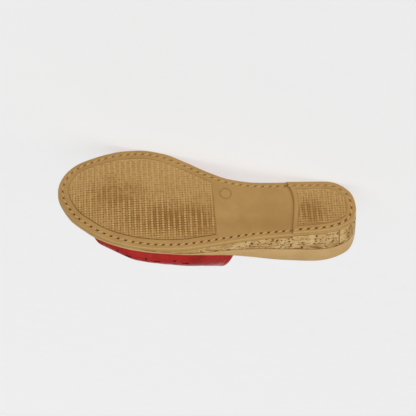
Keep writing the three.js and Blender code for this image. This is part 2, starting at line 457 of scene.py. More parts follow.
class Shader(NodeTree):
    """A material's node tree under construction, which reads the standing sandal's millimetres."""

    COAT_ROUGHNESS = 0.32
    # Relief below 0 that is painted as shade
    SHADE_SPAN = (-0.05, -0.9)
    PATCH_EDGE = (0.25, 1.0)

    def __init__(self, name: str, standing: StandingFrame) -> None:
        """Starts a material with one Principled shader.

        Args:
            name: The material's name.
            standing: The frame that its patterns follow.
        """
        self.material = bpy.data.materials.new(name)
        self.material.use_nodes = True
        self.tree = self.material.node_tree
        self.tree.nodes.clear()
        self.surface = self.node("ShaderNodeBsdfPrincipled", {})
        self.node("ShaderNodeOutputMaterial", {"Surface": self.surface.outputs["BSDF"]})
        back = standing.turn.transposed()
        feeds = {
            "Vector": self.out("ShaderNodeTexCoord", "Object", {}),
            "Location": -(back @ standing.origin) / MM,
            "Rotation": back.to_euler("XYZ"),
            "Scale": (1 / MM,) * 3,
        }
        self.place = self.out("ShaderNodeMapping", "Vector", feeds)

    def stretched(self, scale: Place) -> Socket:
        """The standing place with each axis scaled, for a pattern that runs longer one way."""
        return self.vector_math("MULTIPLY", self.place, scale)

    def noise(self, scale: float, detail: float, stir: float = 0.0, vector: Socket | None = None) -> Socket:
        """Soft random tone about 0.5, by cells per millimetre, finer octaves and how far it is stirred."""
        feeds = {"Vector": vector or self.place, "Scale": scale, "Detail": detail, "Distortion": stir}
        return self.out("ShaderNodeTexNoise", "Fac", feeds)

    def cells(self, scale: float, feature: str = "F1") -> Socket:
        """Distance pattern of random cells, by cells per millimetre."""
        feeds = {"Vector": self.place, "Scale": scale}
        return self.out("ShaderNodeTexVoronoi", "Distance", feeds, feature=feature)

    def band(self, value: Socket, span: Span, to: Span = (0.0, 1.0)) -> Socket:
        """Maps a value smoothly from one span to another, and holds it there."""
        feeds = {"Value": value, "From Min": span[0], "From Max": span[1], "To Min": to[0], "To Max": to[1]}
        return self.out("ShaderNodeMapRange", "Result", feeds, interpolation_type="SMOOTHSTEP")

    def mix(self, share: object, low: object, high: object) -> Socket:
        """Mixes two colours, each a code or an output, by the share of the second."""
        feeds = {"Factor_Float": share, "A_Color": low, "B_Color": high}
        return self.out("ShaderNodeMix", "Result_Color", feeds, data_type="RGBA")

    def spot(self, worn: SoftPatch) -> Socket:
        """A soft patch of the standing sandal.

        Args:
            worn: The patch.

        Returns:
            The patch's strength in its middle, 0 outside.
        """
        away = self.vector_math("SUBTRACT", self.place, worn.centre)
        scaled = self.vector_math("DIVIDE", away, worn.radii)
        length = self.out("ShaderNodeVectorMath", "Value", {"Vector": scaled}, operation="LENGTH")
        return self.band(length, self.PATCH_EDGE, to=(worn.strength, 0.0))

    def along(self, direction: Place) -> Socket:
        """How far the standing place lies along a direction, in millimetres."""
        return self.vector_math("DOT_PRODUCT", self.place, direction, "Value")

    def teeth(self, value: Socket, pitch: float) -> Socket:
        """An even zigzag, 0 at each multiple of the pitch and 1 midway between."""
        zigzag = self.math("PINGPONG", value, pitch / 2)
        return self.math("DIVIDE", zigzag, pitch / 2)

    def axis(self, name: str) -> Socket:
        """One coordinate of the standing place, in millimetres."""
        return self.out("ShaderNodeSeparateXYZ", name, {"Vector": self.place})

    def attribute(self, name: str) -> Socket:
        """A number kept on the mesh."""
        return self.out("ShaderNodeAttribute", "Fac", {}, attribute_name=name)

    def painted_shade(self) -> Socket:
        """How much painted shade, from 0 to 1, the mesh's relief asks for in grooves, corners and seams."""
        return self.band(self.attribute(RELIEF), self.SHADE_SPAN)

    def bump(self, height: object, depth: float, below: object | None = None) -> Socket:
        """A normal that gives relief from a tone, so deep for a tone of 1, over the normal below it."""
        feeds = {"Height": height, "Strength": 1.0, "Distance": depth * MM}
        return self.out("ShaderNodeBump", "Normal", feeds if below is None else {**feeds, "Normal": below})

    def finish(
        self, color: object, roughness: object, normal: object, specular: float, coat: float = 0.0
    ) -> None:
        """Connects the shader.

        Args:
            color: Colour or output.
            roughness: Roughness or output.
            normal: The relief's normal.
            specular: Specular level, the same all over.
            coat: How much of a satin coat lies over it.
        """
        feeds = {
            "Base Color": color,
            "Roughness": roughness,
            "Normal": normal,
            "Specular IOR Level": specular,
            "Coat Weight": coat,
            "Coat Roughness": self.COAT_ROUGHNESS,
        }
        for name, value in feeds.items():
            self.feed(self.surface.inputs[name], value)


class Finish(ABC):
    """A finish, painted on a material of its own."""

    name: str

    @abstractmethod
    def paint(self, shader: Shader) -> None:
        """Paints the finish.

        Args:
            shader: The material.
        """


@dataclass(frozen=True)
class RibPattern:
    """The tread's repeat: ribs of beads that cross the sole at a slight turn."""

    pitch: float = 4.61
    bead_pitch: float = 2.11
    turn_deg: float = 5.4
    start: float = 0.7
    below: float = -20.0

    @property
    def lengthwise(self) -> Place:
        """The direction from rib to rib."""
        return (math.cos(math.radians(self.turn_deg)), -math.sin(math.radians(self.turn_deg)), 0.0)

    @property
    def crosswise(self) -> Place:
        """The direction from bead to bead."""
        return (math.sin(math.radians(self.turn_deg)), math.cos(math.radians(self.turn_deg)), 0.0)

    def centre(self, rib: int) -> Place:
        """Where the middle of a rib lies, well below the tread."""
        reach = self.start + rib * self.pitch
        return (reach * self.lengthwise[0], reach * self.lengthwise[1], self.below)


@dataclass(frozen=True)
class TanRubber(Finish):
    """Moulded tan rubber with painted shade in its grooves, seams and corners, a darker, woven-looking ground
    between its ribs that is partly painted shade, and beads painted paler as worn tops and painted highlight.
    """

    name: str = "tan_rubber"
    base: int = 0xA6824B
    pale: int = 0xC09D64
    brown: int = 0x82581F
    # Brown of the painted shade in grooves, seams and corners
    shade_brown: int = 0x5C3106
    ribs: RibPattern = RibPattern()
    ball: SoftPatch = SoftPatch((150, -16, 0), (60, 20, 9))
    toes: SoftPatch = SoftPatch((203, 4, 0), (34, 24, 9), 0.75)
    heel: SoftPatch = SoftPatch((40, -4, 0), (22, 15, 9), 0.75)
    # Darker patch along the shank's lateral side
    shank: SoftPatch = SoftPatch((84, -17, 0), (44, 11, 9), 0.3)
    medial_to_lateral: Span = (28.0, -18.0)

    def _ground(self, shader: Shader) -> list[Socket]:
        """Works out the tread panels' ground.

        Args:
            shader: The material.

        Returns:
            How pale and how dark the ground is, and its fine relief.
        """
        ribs = self.ribs
        lengthwise = shader.math("SUBTRACT", shader.along(ribs.lengthwise), ribs.start)
        between = shader.band(shader.teeth(lengthwise, ribs.pitch), (0.3, 0.7))
        cords = shader.band(shader.teeth(lengthwise, ribs.pitch / 2), (0.35, 0.85))
        wefts = shader.band(shader.teeth(shader.along(ribs.crosswise), ribs.bead_pitch), (0.4, 0.9))
        patchy = shader.noise(0.12, detail=2.0, stir=0.5)
        cords = shader.times(cords, shader.band(patchy, (0.42, 0.58), to=(0.7, 0.4)))
        wefts = shader.times(wefts, shader.band(patchy, (0.42, 0.58), to=(0.45, 0.75)))
        broken = shader.band(shader.noise(0.4, detail=3.0, stir=0.5), (0.36, 0.64), to=(0.5, 1.4))
        weave = shader.times(shader.math("ADD", cords, wefts), broken)
        ends = shader.math("MAXIMUM", shader.spot(self.toes), shader.spot(self.heel))
        trodden = shader.math("MAXIMUM", shader.spot(self.ball), ends)
        cloud = shader.band(shader.noise(0.08, detail=4.0, stir=0.6), (0.36, 0.64), to=(0.35, 1.0))
        worn = shader.times(trodden, cloud)
        aside = shader.axis("Y")
        # Painted shade on the ground midway between the bead ribs, stronger in the trodden patches
        shade_between_ribs = shader.times(between, shader.math("MULTIPLY_ADD", worn, 0.5, 0.05))
        depth = shader.band(aside, self.medial_to_lateral, to=(0.5, 0.75))
        woven = shader.times(weave, shader.math("MULTIPLY_ADD", worn, 0.3, depth))
        dark = shader.math("MULTIPLY_ADD", worn, 0.25, shader.math("ADD", shade_between_ribs, woven))
        light = shader.band(aside, self.medial_to_lateral, to=(0.7, 0.2))
        panel = shader.attribute(PANEL)
        return [shader.times(panel, tone) for tone in (light, dark, weave)]

    def paint(self, shader: Shader) -> None:
        """Paints the rubber.

        Args:
            shader: The material.
        """
        cloud = shader.band(shader.noise(0.045, detail=5.0, stir=0.6), (0.36, 0.68), to=(0.0, 0.25))
        grain = shader.noise(1.3, detail=4.0)
        light, dark, weave = self._ground(shader)
        # Paler where the relief is above 0: worn edges of the walls, and the beads, painted paler the higher
        # they stand as worn tops and painted highlight
        wear_and_highlight = shader.band(shader.attribute(RELIEF), (0.1, 0.9), to=(0.0, 0.8))
        color = shader.mix(cloud, self.base, self.brown)
        for share, tone in (
            (shader.band(grain, (0.5, 0.8), to=(0.0, 0.2)), self.pale),
            (shader.spot(self.shank), self.brown),
            (light, self.pale),
            (dark, self.brown),
            (wear_and_highlight, self.pale),
            (shader.painted_shade(), self.shade_brown),
        ):
            color = shader.mix(share, color, tone)
        normal = shader.bump(grain, depth=0.05)
        normal = shader.bump(shader.noise(0.25, detail=4.0), depth=0.1, below=normal)
        normal = shader.bump(shader.times(weave, -1.0), depth=0.16, below=normal)
        rough = shader.band(shader.noise(0.12, detail=4.0), (0.3, 0.7), to=(0.52, 0.7))
        shader.finish(color, rough, normal, specular=0.25)


@dataclass(frozen=True)
class FleckedCork(Finish):
    """Pressed cork: pale granules, brown flecks, short cracks, streaks along the wedge, and painted shade
    along its seams and the top of its walls.
    """

    name: str = "flecked_cork"
    pale: int = 0xD4B57F
    tan: int = 0xBA955A
    fleck_and_shade: int = 0x613810
    streak_and_shade: int = 0x845A28
    joint_way: Place = (1.0, 0.0, 0.12)
    joint_at: float = 14.5
    along_wedge: Place = (0.12, 1.0, 1.0)
    up_wall: Place = (1.0, 1.0, 0.3)

    def _joint(self, shader: Shader) -> Socket:
        """The line where the cork's two ends meet, on the lateral side of the heel.

        Args:
            shader: The material.

        Returns:
            How plain the line is, 0 away from it.
        """
        away = shader.math("ABSOLUTE", shader.math("SUBTRACT", shader.along(self.joint_way), self.joint_at))
        line = shader.band(away, (0.15, 0.6), to=(0.75, 0.0))
        return shader.times(line, shader.band(shader.axis("Y"), (0.0, -4.0)))

    def paint(self, shader: Shader) -> None:
        """Paints the cork.

        Args:
            shader: The material.
        """
        rise = shader.attribute(RISE)
        rubbed = shader.band(rise, (0.2, 0.9), to=(0.4, 1.0))
        cloud = shader.noise(0.09, detail=4.0, stir=0.5)
        along = shader.noise(0.5, detail=4.0, stir=0.4, vector=shader.stretched(self.along_wedge))
        crumb = shader.band(shader.noise(0.6, detail=4.0, stir=0.8), (0.56, 0.63), to=(0.0, 0.8))
        hole = shader.band(shader.cells(0.23), (0.15, 0.23), to=(1.0, 0.0))
        split = shader.noise(0.8, detail=2.0, stir=0.6, vector=shader.stretched(self.up_wall))
        mark = shader.math("MAXIMUM", hole, shader.band(split, (0.7, 0.73)))
        top_shade_breaks = shader.band(shader.noise(0.3, detail=3.0, stir=0.5), (0.36, 0.6), to=(0.25, 0.9))
        joint = self._joint(shader)
        color = shader.mix(shader.band(cloud, (0.38, 0.66)), self.pale, self.tan)
        for share, tone in (
            (shader.times(shader.band(along, (0.51, 0.64)), rubbed), self.streak_and_shade),
            (shader.times(crumb, rubbed), self.streak_and_shade),
            (mark, self.fleck_and_shade),
            # Painted shade along the top of the wall under the footbed, broken up by noise
            (shader.times(shader.band(rise, (0.88, 0.99)), top_shade_breaks), self.streak_and_shade),
            # Painted shade at the seams, in the flecks' brown
            (shader.painted_shade(), self.fleck_and_shade),
            (joint, self.fleck_and_shade),
        ):
            color = shader.mix(share, color, tone)
        sunk = shader.math("MAXIMUM", mark, joint)
        normal = shader.bump(shader.times(sunk, -1.0), depth=0.3)
        normal = shader.bump(shader.noise(1.8, detail=4.0), depth=0.1, below=normal)
        shader.finish(color, 0.82, normal, specular=0.2)


@dataclass(frozen=True)
class TanCover(Finish):
    """Smooth tan cover of the footbed, satin, with faint lengthwise drag marks and painted shade along its
    lower edge where it meets the cork.
    """

    name: str = "tan_cover"
    base: int = 0xCAA670
    pale: int = 0xD4B481
    shade: int = 0xBF9962
    # Brown of the painted shade along the lower edge
    seam: int = 0x6A461E
    along_sole: Place = (0.06, 1.0, 1.0)

    def paint(self, shader: Shader) -> None:
        """Paints the cover.

        Args:
            shader: The material.
        """
        cloud = shader.band(shader.noise(0.04, detail=4.0, stir=0.4), (0.3, 0.7))
        color = shader.mix(cloud, self.base, self.shade)
        drag = shader.noise(0.9, detail=3.0, stir=0.2, vector=shader.stretched(self.along_sole))
        color = shader.mix(shader.band(drag, (0.5, 0.75), to=(0.0, 0.4)), color, self.pale)
        color = shader.mix(shader.painted_shade(), color, self.seam)
        normal = shader.bump(shader.cells(1.1), depth=0.05)
        normal = shader.bump(shader.noise(0.2, detail=3.0), depth=0.1, below=normal)
        rough = shader.band(cloud, (0.0, 1.0), to=(0.46, 0.56))
        shader.finish(color, rough, normal, specular=0.45)


@dataclass(frozen=True)
class SockLeather(Finish):
    """Tan sock leather, polished darker where the heel and the ball of the foot have lain."""

    name: str = "sock_leather"
    base: int = 0xBE945F
    pale: int = 0xCCA873
    trodden: int = 0x93693A
    polish: float = 0.55
    heel: SoftPatch = SoftPatch((30, 1, 38), (26, 19, 30))
    ball: SoftPatch = SoftPatch((178, 4, 8), (36, 34, 30))

    def paint(self, shader: Shader) -> None:
        """Paints the sock's leather.

        Args:
            shader: The material.
        """
        cloud = shader.band(shader.noise(0.06, detail=5.0, stir=0.5), (0.35, 0.68))
        color = shader.mix(cloud, self.base, self.pale)
        foot = shader.math("MAXIMUM", shader.spot(self.heel), shader.spot(self.ball))
        color = shader.mix(shader.times(foot, self.polish), color, self.trodden)
        pebble = shader.cells(0.85, "SMOOTH_F1")
        color = shader.mix(shader.band(pebble, (0.35, 0.75), to=(0.0, 0.25)), color, self.trodden)
        normal = shader.bump(shader.times(pebble, -1.0), depth=0.12)
        normal = shader.bump(shader.noise(2.2, detail=3.0), depth=0.03, below=normal)
        rough = shader.band(foot, (0.0, 1.0), to=(0.6, 0.42))
        shader.finish(color, rough, normal, specular=0.45)


@dataclass(frozen=True)
class GrainLeather(Finish):
    """Full-grain leather with a pebbled skin, slow changes of tone and fine creases."""

    name: str
    base: int
    deep: int
    bright: int
    roughness: Span
    grain: float = 0.9
    specular: float = 0.45
    coat: float = 0.0
    over_vamp: Place = (1.6, 0.35, 0.35)

    def paint(self, shader: Shader) -> None:
        """Paints the leather.

        Args:
            shader: The material.
        """
        cloud = shader.band(shader.noise(0.05, detail=5.0, stir=0.8), (0.34, 0.8))
        color = shader.mix(cloud, self.base, self.deep)
        rub = shader.band(shader.noise(0.11, detail=6.0, stir=1.2), (0.56, 0.74), to=(0.0, 0.3))
        color = shader.mix(rub, color, self.bright)
        pebble = shader.cells(self.grain, "SMOOTH_F1")
        color = shader.mix(shader.band(pebble, (0.4, 0.85), to=(0.0, 0.3)), color, self.deep)
        crease = shader.noise(0.22, detail=3.0, stir=1.6, vector=shader.stretched(self.over_vamp))
        normal = shader.bump(shader.times(pebble, -1.0), depth=0.1)
        normal = shader.bump(shader.band(crease, (0.42, 0.52)), depth=0.1, below=normal)
        normal = shader.bump(shader.noise(2.6, detail=3.0), depth=0.02, below=normal)
        rough = shader.band(cloud, (0.0, 1.0), to=self.roughness)
        shader.finish(color, rough, normal, self.specular, self.coat)


@dataclass(frozen=True)
class PlainTone(Finish):
    """A small part's finish: one tone with fine grain."""

    name: str
    base: int
    shade: int
    roughness: float
    grain: float = 2.0

    def paint(self, shader: Shader) -> None:
        """Paints the tone.

        Args:
            shader: The material.
        """
        grain = shader.noise(self.grain, detail=3.0)
        color = shader.mix(shader.band(grain, (0.35, 0.7)), self.base, self.shade)
        shader.finish(color, self.roughness, shader.bump(grain, depth=0.04), specular=0.35)


RED_LEATHER = GrainLeather("red_leather", 0xB41C14, 0x94120B, 0xC22C20, (0.46, 0.58), specular=0.25, coat=0.3)
LINING_LEATHER = GrainLeather("lining_leather", 0xB88F62, 0xA17A4E, 0xC7A47A, (0.58, 0.7), grain=0.7)
MOULDED_THREAD = PlainTone("moulded_thread", 0xBC9560, 0xA07A45, 0.6)
RED_THREAD = PlainTone("red_thread", 0x961D18, 0x741210, 0.55)
SOCK_THREAD = PlainTone("sock_thread", 0xDCC298, 0xC4A676, 0.6)
# Near black on the punched holes' walls: painted shade inside the holes
HOLE_SHADE = PlainTone("hole_edge", 0x3A1210, 0x260B0A, 0.75)
CORK_CHIP = PlainTone("cork_chip", 0x6A4016, 0x4E2C0C, 0.85)
FLOOR_PAPER = PlainTone("floor_paper", 0x969696, 0x949494, 0.9, grain=0.02)


class NodeRecipe(NodeTree):
    """A Geometry Nodes tree under construction, with named inputs for its sizes."""

    def __init__(self, name: str) -> None:
        """Starts a tree with its geometry in and out.

        Args:
            name: The tree's name.
        """
        self.tree = bpy.data.node_groups.new(name, "GeometryNodeTree")
        sockets = self.tree.interface
        sockets.new_socket("Geometry", in_out="OUTPUT", socket_type="NodeSocketGeometry")
        sockets.new_socket("Geometry", in_out="INPUT", socket_type="NodeSocketGeometry")
        self.entry = self.tree.nodes.new("NodeGroupInput")
        self.exit = self.tree.nodes.new("NodeGroupOutput")
        self.identifiers: dict[str, str] = {}

    @property
    def source(self) -> Socket:
        """The geometry that comes in."""
        return self.entry.outputs["Geometry"]

    def size(self, name: str, kind: Size) -> Socket:
        """Adds a named input.

        Args:
            name: The input's name.
            kind: What it takes.

        Returns:
            The input inside the tree.
        """
        made = self.tree.interface.new_socket(name, in_out="INPUT", socket_type=kind.value)
        self.identifiers[name] = made.identifier
        return self.entry.outputs[name]

    def vector(self, x: object, y: object, z: object) -> Socket:
        """Joins three numbers to a vector."""
        return self.out("ShaderNodeCombineXYZ", "Vector", {"X": x, "Y": y, "Z": z})

    def ramp(self, value: Socket, span: Span, to: Span) -> Socket:
        """Maps a value evenly from one span to another, and holds it there."""
        feeds = {"Value": value, "From Min": span[0], "From Max": span[1], "To Min": to[0], "To Max": to[1]}
        return self.out("ShaderNodeMapRange", "Result", feeds)

    def pillow(self, crease: float) -> Socket:
        """A soft block one unit wide each way, with two dozen faces and edges as sharp as the crease."""
        cube = self.out("GeometryNodeMeshCube", "Mesh", {"Size": (1, 1, 1)})
        return self.out("GeometryNodeSubdivisionSurface", "Mesh", {"Mesh": cube, "Edge Crease": crease})

    def along_path(self, tangent: object, outward: object) -> Socket:
        """A turn that lays X along a path and Z away from the surface under it.

        Args:
            tangent: The path's direction.
            outward: The surface's normal.

        Returns:
            The rotation.
        """
        kind = "FunctionNodeAlignRotationToVector"
        first = self.out(kind, "Rotation", {"Vector": tangent}, axis="X")
        feeds = {"Rotation": first, "Vector": outward}
        return self.out(kind, "Rotation", feeds, axis="Z", pivot_axis="X")

    def spun(self, turn: Socket, angle: Socket) -> Socket:
        """Spins a turn about its own Z.

        Args:
            turn: The turn.
            angle: How far it is spun.

        Returns:
            The rotation.
        """
        spin = self.out("FunctionNodeAxisAngleToRotation", "Rotation", {"Axis": (0, 0, 1), "Angle": angle})
        feeds = {"Rotation": turn, "Rotate By": spin}
        return self.out("FunctionNodeRotateRotation", "Rotation", feeds, rotation_space="LOCAL")

    def mark(self, name: str) -> Socket:
        """A vector kept on the points that come in."""
        kind = "GeometryNodeInputNamedAttribute"
        return self.out(kind, "Attribute", {"Name": name}, data_type="FLOAT_VECTOR")

    def scattered(self, points: Socket, shape: Socket, **feeds: object) -> Socket:
        """Sets a shape on each point, with the Rotation and Scale that are fed."""
        feeds = {"Points": points, "Instance": shape, **feeds}
        return self.out("GeometryNodeInstanceOnPoints", "Instances", feeds)

    def realized(self, geometry: Socket) -> Socket:
        """Turns instances into a mesh."""
        return self.out("GeometryNodeRealizeInstances", "Geometry", {"Geometry": geometry})

    def dressed(self, geometry: Socket, material: Socket, where: object = True) -> Socket:
        """Gives a material to the chosen faces."""
        feeds = {"Geometry": geometry, "Selection": where, "Material": material}
        return self.out("GeometryNodeSetMaterial", "Geometry", feeds)

    def close(self, geometry: Socket, material: Socket, where: object = True) -> None:
        """Ends the tree: instances become a mesh, smooth, with the material on the chosen faces."""
        smooth = self.out("GeometryNodeSetShadeSmooth", "Geometry", {"Geometry": self.realized(geometry)})
        self.tree.links.new(self.dressed(smooth, material, where), self.exit.inputs["Geometry"])

    def make(self, source: Mesh, sizes: dict[str, object]) -> Mesh:
        """Runs the tree once and keeps its result as a plain mesh.

        Args:
            source: The mesh that goes in.
            sizes: Values of the named inputs.

        Returns:
            The made mesh.
        """
        holder = bpy.data.objects.new(self.tree.name, source)
        bpy.context.scene.collection.objects.link(holder)
        modifier = holder.modifiers.new(self.tree.name, "NODES")
        modifier.node_group = self.tree
        for name, value in sizes.items():
            modifier[self.identifiers[name]] = value
        graph = bpy.context.evaluated_depsgraph_get()
        made = bpy.data.meshes.new_from_object(holder.evaluated_get(graph), depsgraph=graph)
        holder.modifiers.remove(modifier)
        bpy.data.objects.remove(holder)
        return made


class StitchRecipe(NodeRecipe):
    """Stitches laid end to end along a path, each flat on the surface beneath it."""

    CREASE = 0.45

    def __init__(self) -> None:
        """Builds the tree."""
        super().__init__("stitch_row")
        lengths = ("Pitch", "Length", "Width", "Height", "Slant")
        pitch, length, width, height, slant = (self.size(name, Size.LENGTH) for name in lengths)
        material = self.size("Material", Size.MATERIAL)
        route = self.out("GeometryNodeMeshToCurve", "Curve", {"Mesh": self.source})
        feeds = {"Curve": route, "Length": pitch}
        spaced = self.out("GeometryNodeResampleCurve", "Curve", feeds, mode="LENGTH")
        tangent = self.out("GeometryNodeInputTangent", "Tangent", {})
        turn = self.spun(self.along_path(tangent, self.mark(OUTWARD)), slant)
        scale = self.vector(length, width, height)
        self.close(self.scattered(spaced, self.pillow(self.CREASE), Rotation=turn, Scale=scale), material)


class BeadRecipe(NodeRecipe):
    """Ribs of moulded beads across a tread panel, lower where the tread is worn."""

    CREASE = 0.3
    CLOUD_SCALE = 0.07
    CLOUD_DETAIL = 3.0
    CLOUD_WEAR = ((0.4, 0.55), (0.2, 1.0))
    MEDIAL_WEAR = ((24.0, -8.0), (0.25, 1.0))

    def __init__(self) -> None:
        """Builds the tree."""
        super().__init__("tread_beads")
        centre, bead, turn = (self.size(name, Size.VECTOR) for name in ("Centre", "Bead", "Turn"))
        ribs, beads, seed = (self.size(name, Size.COUNT) for name in ("Ribs", "Beads", "Seed"))
        lengths = ("Rib Pitch", "Bead Pitch", "Standing")
        rib_pitch, bead_pitch, standing = (self.size(name, Size.LENGTH) for name in lengths)
        material = self.size("Material", Size.MATERIAL)
        feeds = {
            "Size X": self.times(self.math("SUBTRACT", ribs, 1), rib_pitch),
            "Size Y": self.times(self.math("SUBTRACT", beads, 1), bead_pitch),
            "Vertices X": ribs,
            "Vertices Y": beads,
        }
        grid = self.out("GeometryNodeMeshGrid", "Mesh", feeds)
        feeds = {"Geometry": grid, "Translation": centre, "Rotation": turn}
        laid = self.out("GeometryNodeTransform", "Geometry", feeds)
        points = self.out("GeometryNodeMeshToPoints", "Points", {"Mesh": laid})
        place = self.out("GeometryNodeInputPosition", "Position", {})
        feeds = {"Target Geometry": self.source, "Source Position": place, "Ray Direction": (0, 0, 1)}
        ray = self.node("GeometryNodeRaycast", feeds)
        feeds = {"Boolean": ray.outputs["Is Hit"]}
        missed = self.out("FunctionNodeBooleanMath", "Boolean", feeds, operation="NOT")
        feeds = {"Geometry": points, "Selection": missed}
        kept = self.out("GeometryNodeDeleteGeometry", "Geometry", feeds, domain="POINT")
        feeds = {"Geometry": kept, "Position": ray.outputs["Hit Position"]}
        seated = self.out("GeometryNodeSetPosition", "Geometry", feeds)
        feeds = {"Vector": place, "W": seed, "Scale": self.CLOUD_SCALE, "Detail": self.CLOUD_DETAIL}
        cloud = self.out("ShaderNodeTexNoise", "Fac", feeds, noise_dimensions="4D")
        worn = self.ramp(cloud, *self.CLOUD_WEAR)
        aside = self.out("ShaderNodeSeparateXYZ", "Y", {"Vector": place})
        sharp = self.ramp(aside, *self.MEDIAL_WEAR)
        stands = self.times(standing, self.times(worn, sharp))
        sizes = self.node("ShaderNodeSeparateXYZ", {"Vector": bead}).outputs
        scale = self.vector(sizes["X"], sizes["Y"], self.times(sizes["Z"], stands))
        beaded = self.scattered(seated, self.pillow(self.CREASE), Scale=scale)
        # Each bead's height is kept as relief, which the rubber paints paler: worn tops and painted highlight
        feeds = {"Geometry": beaded, "Name": RELIEF, "Value": stands}
        told = self.node("GeometryNodeStoreNamedAttribute", feeds, data_type="FLOAT", domain="INSTANCE")
        self.close(told.outputs["Geometry"], material)


class FleckRecipe(NodeRecipe):
    """Dark chips scattered over a cork wall, lying flat in it."""

    LARGEST_TURN = 0.6

    def __init__(self) -> None:
        """Builds the tree."""
        super().__init__("cork_flecks")
        density = self.size("Density", Size.LENGTH)
        small, large = (self.size(name, Size.VECTOR) for name in ("Smallest", "Largest"))
        seed = self.size("Seed", Size.COUNT)
        material = self.size("Material", Size.MATERIAL)
        feeds = {"Mesh": self.source, "Density": density, "Seed": seed}
        spread = self.node("GeometryNodeDistributePointsOnFaces", feeds)
        feeds = {"Min": small, "Max": large, "Seed": seed}
        scale = self.out("FunctionNodeRandomValue", "Value", feeds, data_type="FLOAT_VECTOR")
        feeds = {"Min_001": -self.LARGEST_TURN, "Max_001": self.LARGEST_TURN, "Seed": seed}
        angle = self.out("FunctionNodeRandomValue", "Value_001", feeds, data_type="FLOAT")
        turn = self.spun(spread.outputs["Rotation"], angle)
        chip = self.out("GeometryNodeMeshIcoSphere", "Mesh", {"Radius": 0.5, "Subdivisions": 2})
        chips = self.scattered(spread.outputs["Points"], chip, Rotation=turn, Scale=scale)
        self.close(chips, material)


class PunchRecipe(NodeRecipe):
    """Ovals punched through a skin, each along a direction kept at its place."""

    FACETS = 20

    def __init__(self) -> None:
        """Builds the tree."""
        super().__init__("punched_ovals")
        places = self.size("Places", Size.OBJECT)
        edge = self.size("Edge", Size.MATERIAL)
        points = self.out("GeometryNodeObjectInfo", "Geometry", {"Object": places})
        feeds = {"Vertices": self.FACETS, "Radius": 0.5, "Depth": 1.0}
        tool = self.out("GeometryNodeMeshCylinder", "Mesh", feeds)
        turn = self.along_path(self.mark(LENGTHWISE), self.mark(OUTWARD))
        tools = self.scattered(points, tool, Rotation=turn, Scale=self.mark(OVAL))
        feeds = {"Mesh 1": self.source, "Mesh 2": self.dressed(self.realized(tools), edge)}
        cut = self.node("GeometryNodeMeshBoolean", feeds, operation="DIFFERENCE", solver="EXACT")
        # The holes' walls take the near-black edge material, painted shade inside the holes
        inside = self.out("GeometryNodeMaterialSelection", "Selection", {"Material": edge})
        self.close(cut.outputs["Mesh"], edge, inside)


def closed(mesh: Mesh, merge: float = 0.004, folded: float = 0.001) -> None:
    """Merges a mesh's doubled points, drops folded faces and turns its faces outwards.

    Args:
        mesh: The mesh, changed in place.
        merge: Points closer than this are one.
        folded: Edges shorter than this are dropped.
    """
    work = bmesh.new()
    work.from_mesh(mesh)
    bmesh.ops.remove_doubles(work, verts=work.verts, dist=merge)
    bmesh.ops.dissolve_degenerate(work, edges=work.edges, dist=folded)
    bmesh.ops.dissolve_verts(work, verts=[point for point in work.verts if len(point.link_edges) == 2])
    if work.calc_volume(signed=True) < 0:
        bmesh.ops.reverse_faces(work, faces=work.faces)
    work.to_mesh(mesh)
    work.free()


def quads(a: Array, b: Array, c: Array, d: Array) -> Array:
    """Joins four grids of corners to faces."""
    return np.stack([a, b, c, d], -1).reshape(-1, 4)


def keep_numbers(mesh: Mesh, name: str, values: Array) -> None:
    """Keeps a number on each point of a mesh."""
    kept = mesh.attributes.new(name, "FLOAT", "POINT")
    kept.data.foreach_set("value", values.astype(np.float32))


def slab(
    name: str,
    under: Array,
    over: Array,
    ends: tuple[bool, bool] = (False, False),
    marks: dict[str, tuple[Array, Array]] | None = None,
) -> Mesh:
    """Closes two grids of points to one body.

    Args:
        name: The mesh's name.
        under: The lower grid, rows by columns by 3.
        over: The upper grid, with as many points.
        ends: Whether the first and the last row need a face, because they don't run together.
        marks: Numbers to keep on the mesh, for the lower and the upper grid's points.

    Returns:
        The closed mesh. Its lower faces have material index 1, the others 0.
    """
    rows, columns = under.shape[:2]
    count = rows * columns
    low = np.arange(count).reshape(rows, columns)
    high = low + count
    lower = quads(low[:-1, :-1], low[:-1, 1:], low[1:, 1:], low[1:, :-1])
    others = [
        quads(high[:-1, :-1], high[1:, :-1], high[1:, 1:], high[:-1, 1:]),
        quads(low[:-1, 0], low[1:, 0], high[1:, 0], high[:-1, 0]),
        quads(low[1:, -1], low[:-1, -1], high[:-1, -1], high[1:, -1]),
    ]
    if ends[0]:
        others.append(quads(low[0, 1:], low[0, :-1], high[0, :-1], high[0, 1:]))
    if ends[1]:
        others.append(quads(low[-1, :-1], low[-1, 1:], high[-1, 1:], high[-1, :-1]))
    faces = np.concatenate([lower, *others])
    points = np.concatenate([under.reshape(-1, 3), over.reshape(-1, 3)])
    mesh = bpy.data.meshes.new(name)
    mesh.from_pydata(points.tolist(), [], faces.tolist())
    mesh.polygons.foreach_set("material_index", (np.arange(len(faces)) < len(lower)).astype(np.int32))
    for mark, grids in (marks or {}).items():
        values = [np.broadcast_to(grid, (rows, columns)).ravel() for grid in grids]
        keep_numbers(mesh, mark, np.concatenate(values))
    closed(mesh)
    return mesh


def patch(name: str, grid: Array) -> Mesh:
    """Skins one grid of points as an open surface.

    Args:
        name: The mesh's name.
        grid: Rows by columns by 3.

    Returns:
        The mesh.
    """
    rows, columns = grid.shape[:2]
    at = np.arange(rows * columns).reshape(rows, columns)
    faces = quads(at[:-1, :-1], at[1:, :-1], at[1:, 1:], at[:-1, 1:])
    mesh = bpy.data.meshes.new(name)
    mesh.from_pydata(grid.reshape(-1, 3).tolist(), [], faces.tolist())
    return mesh


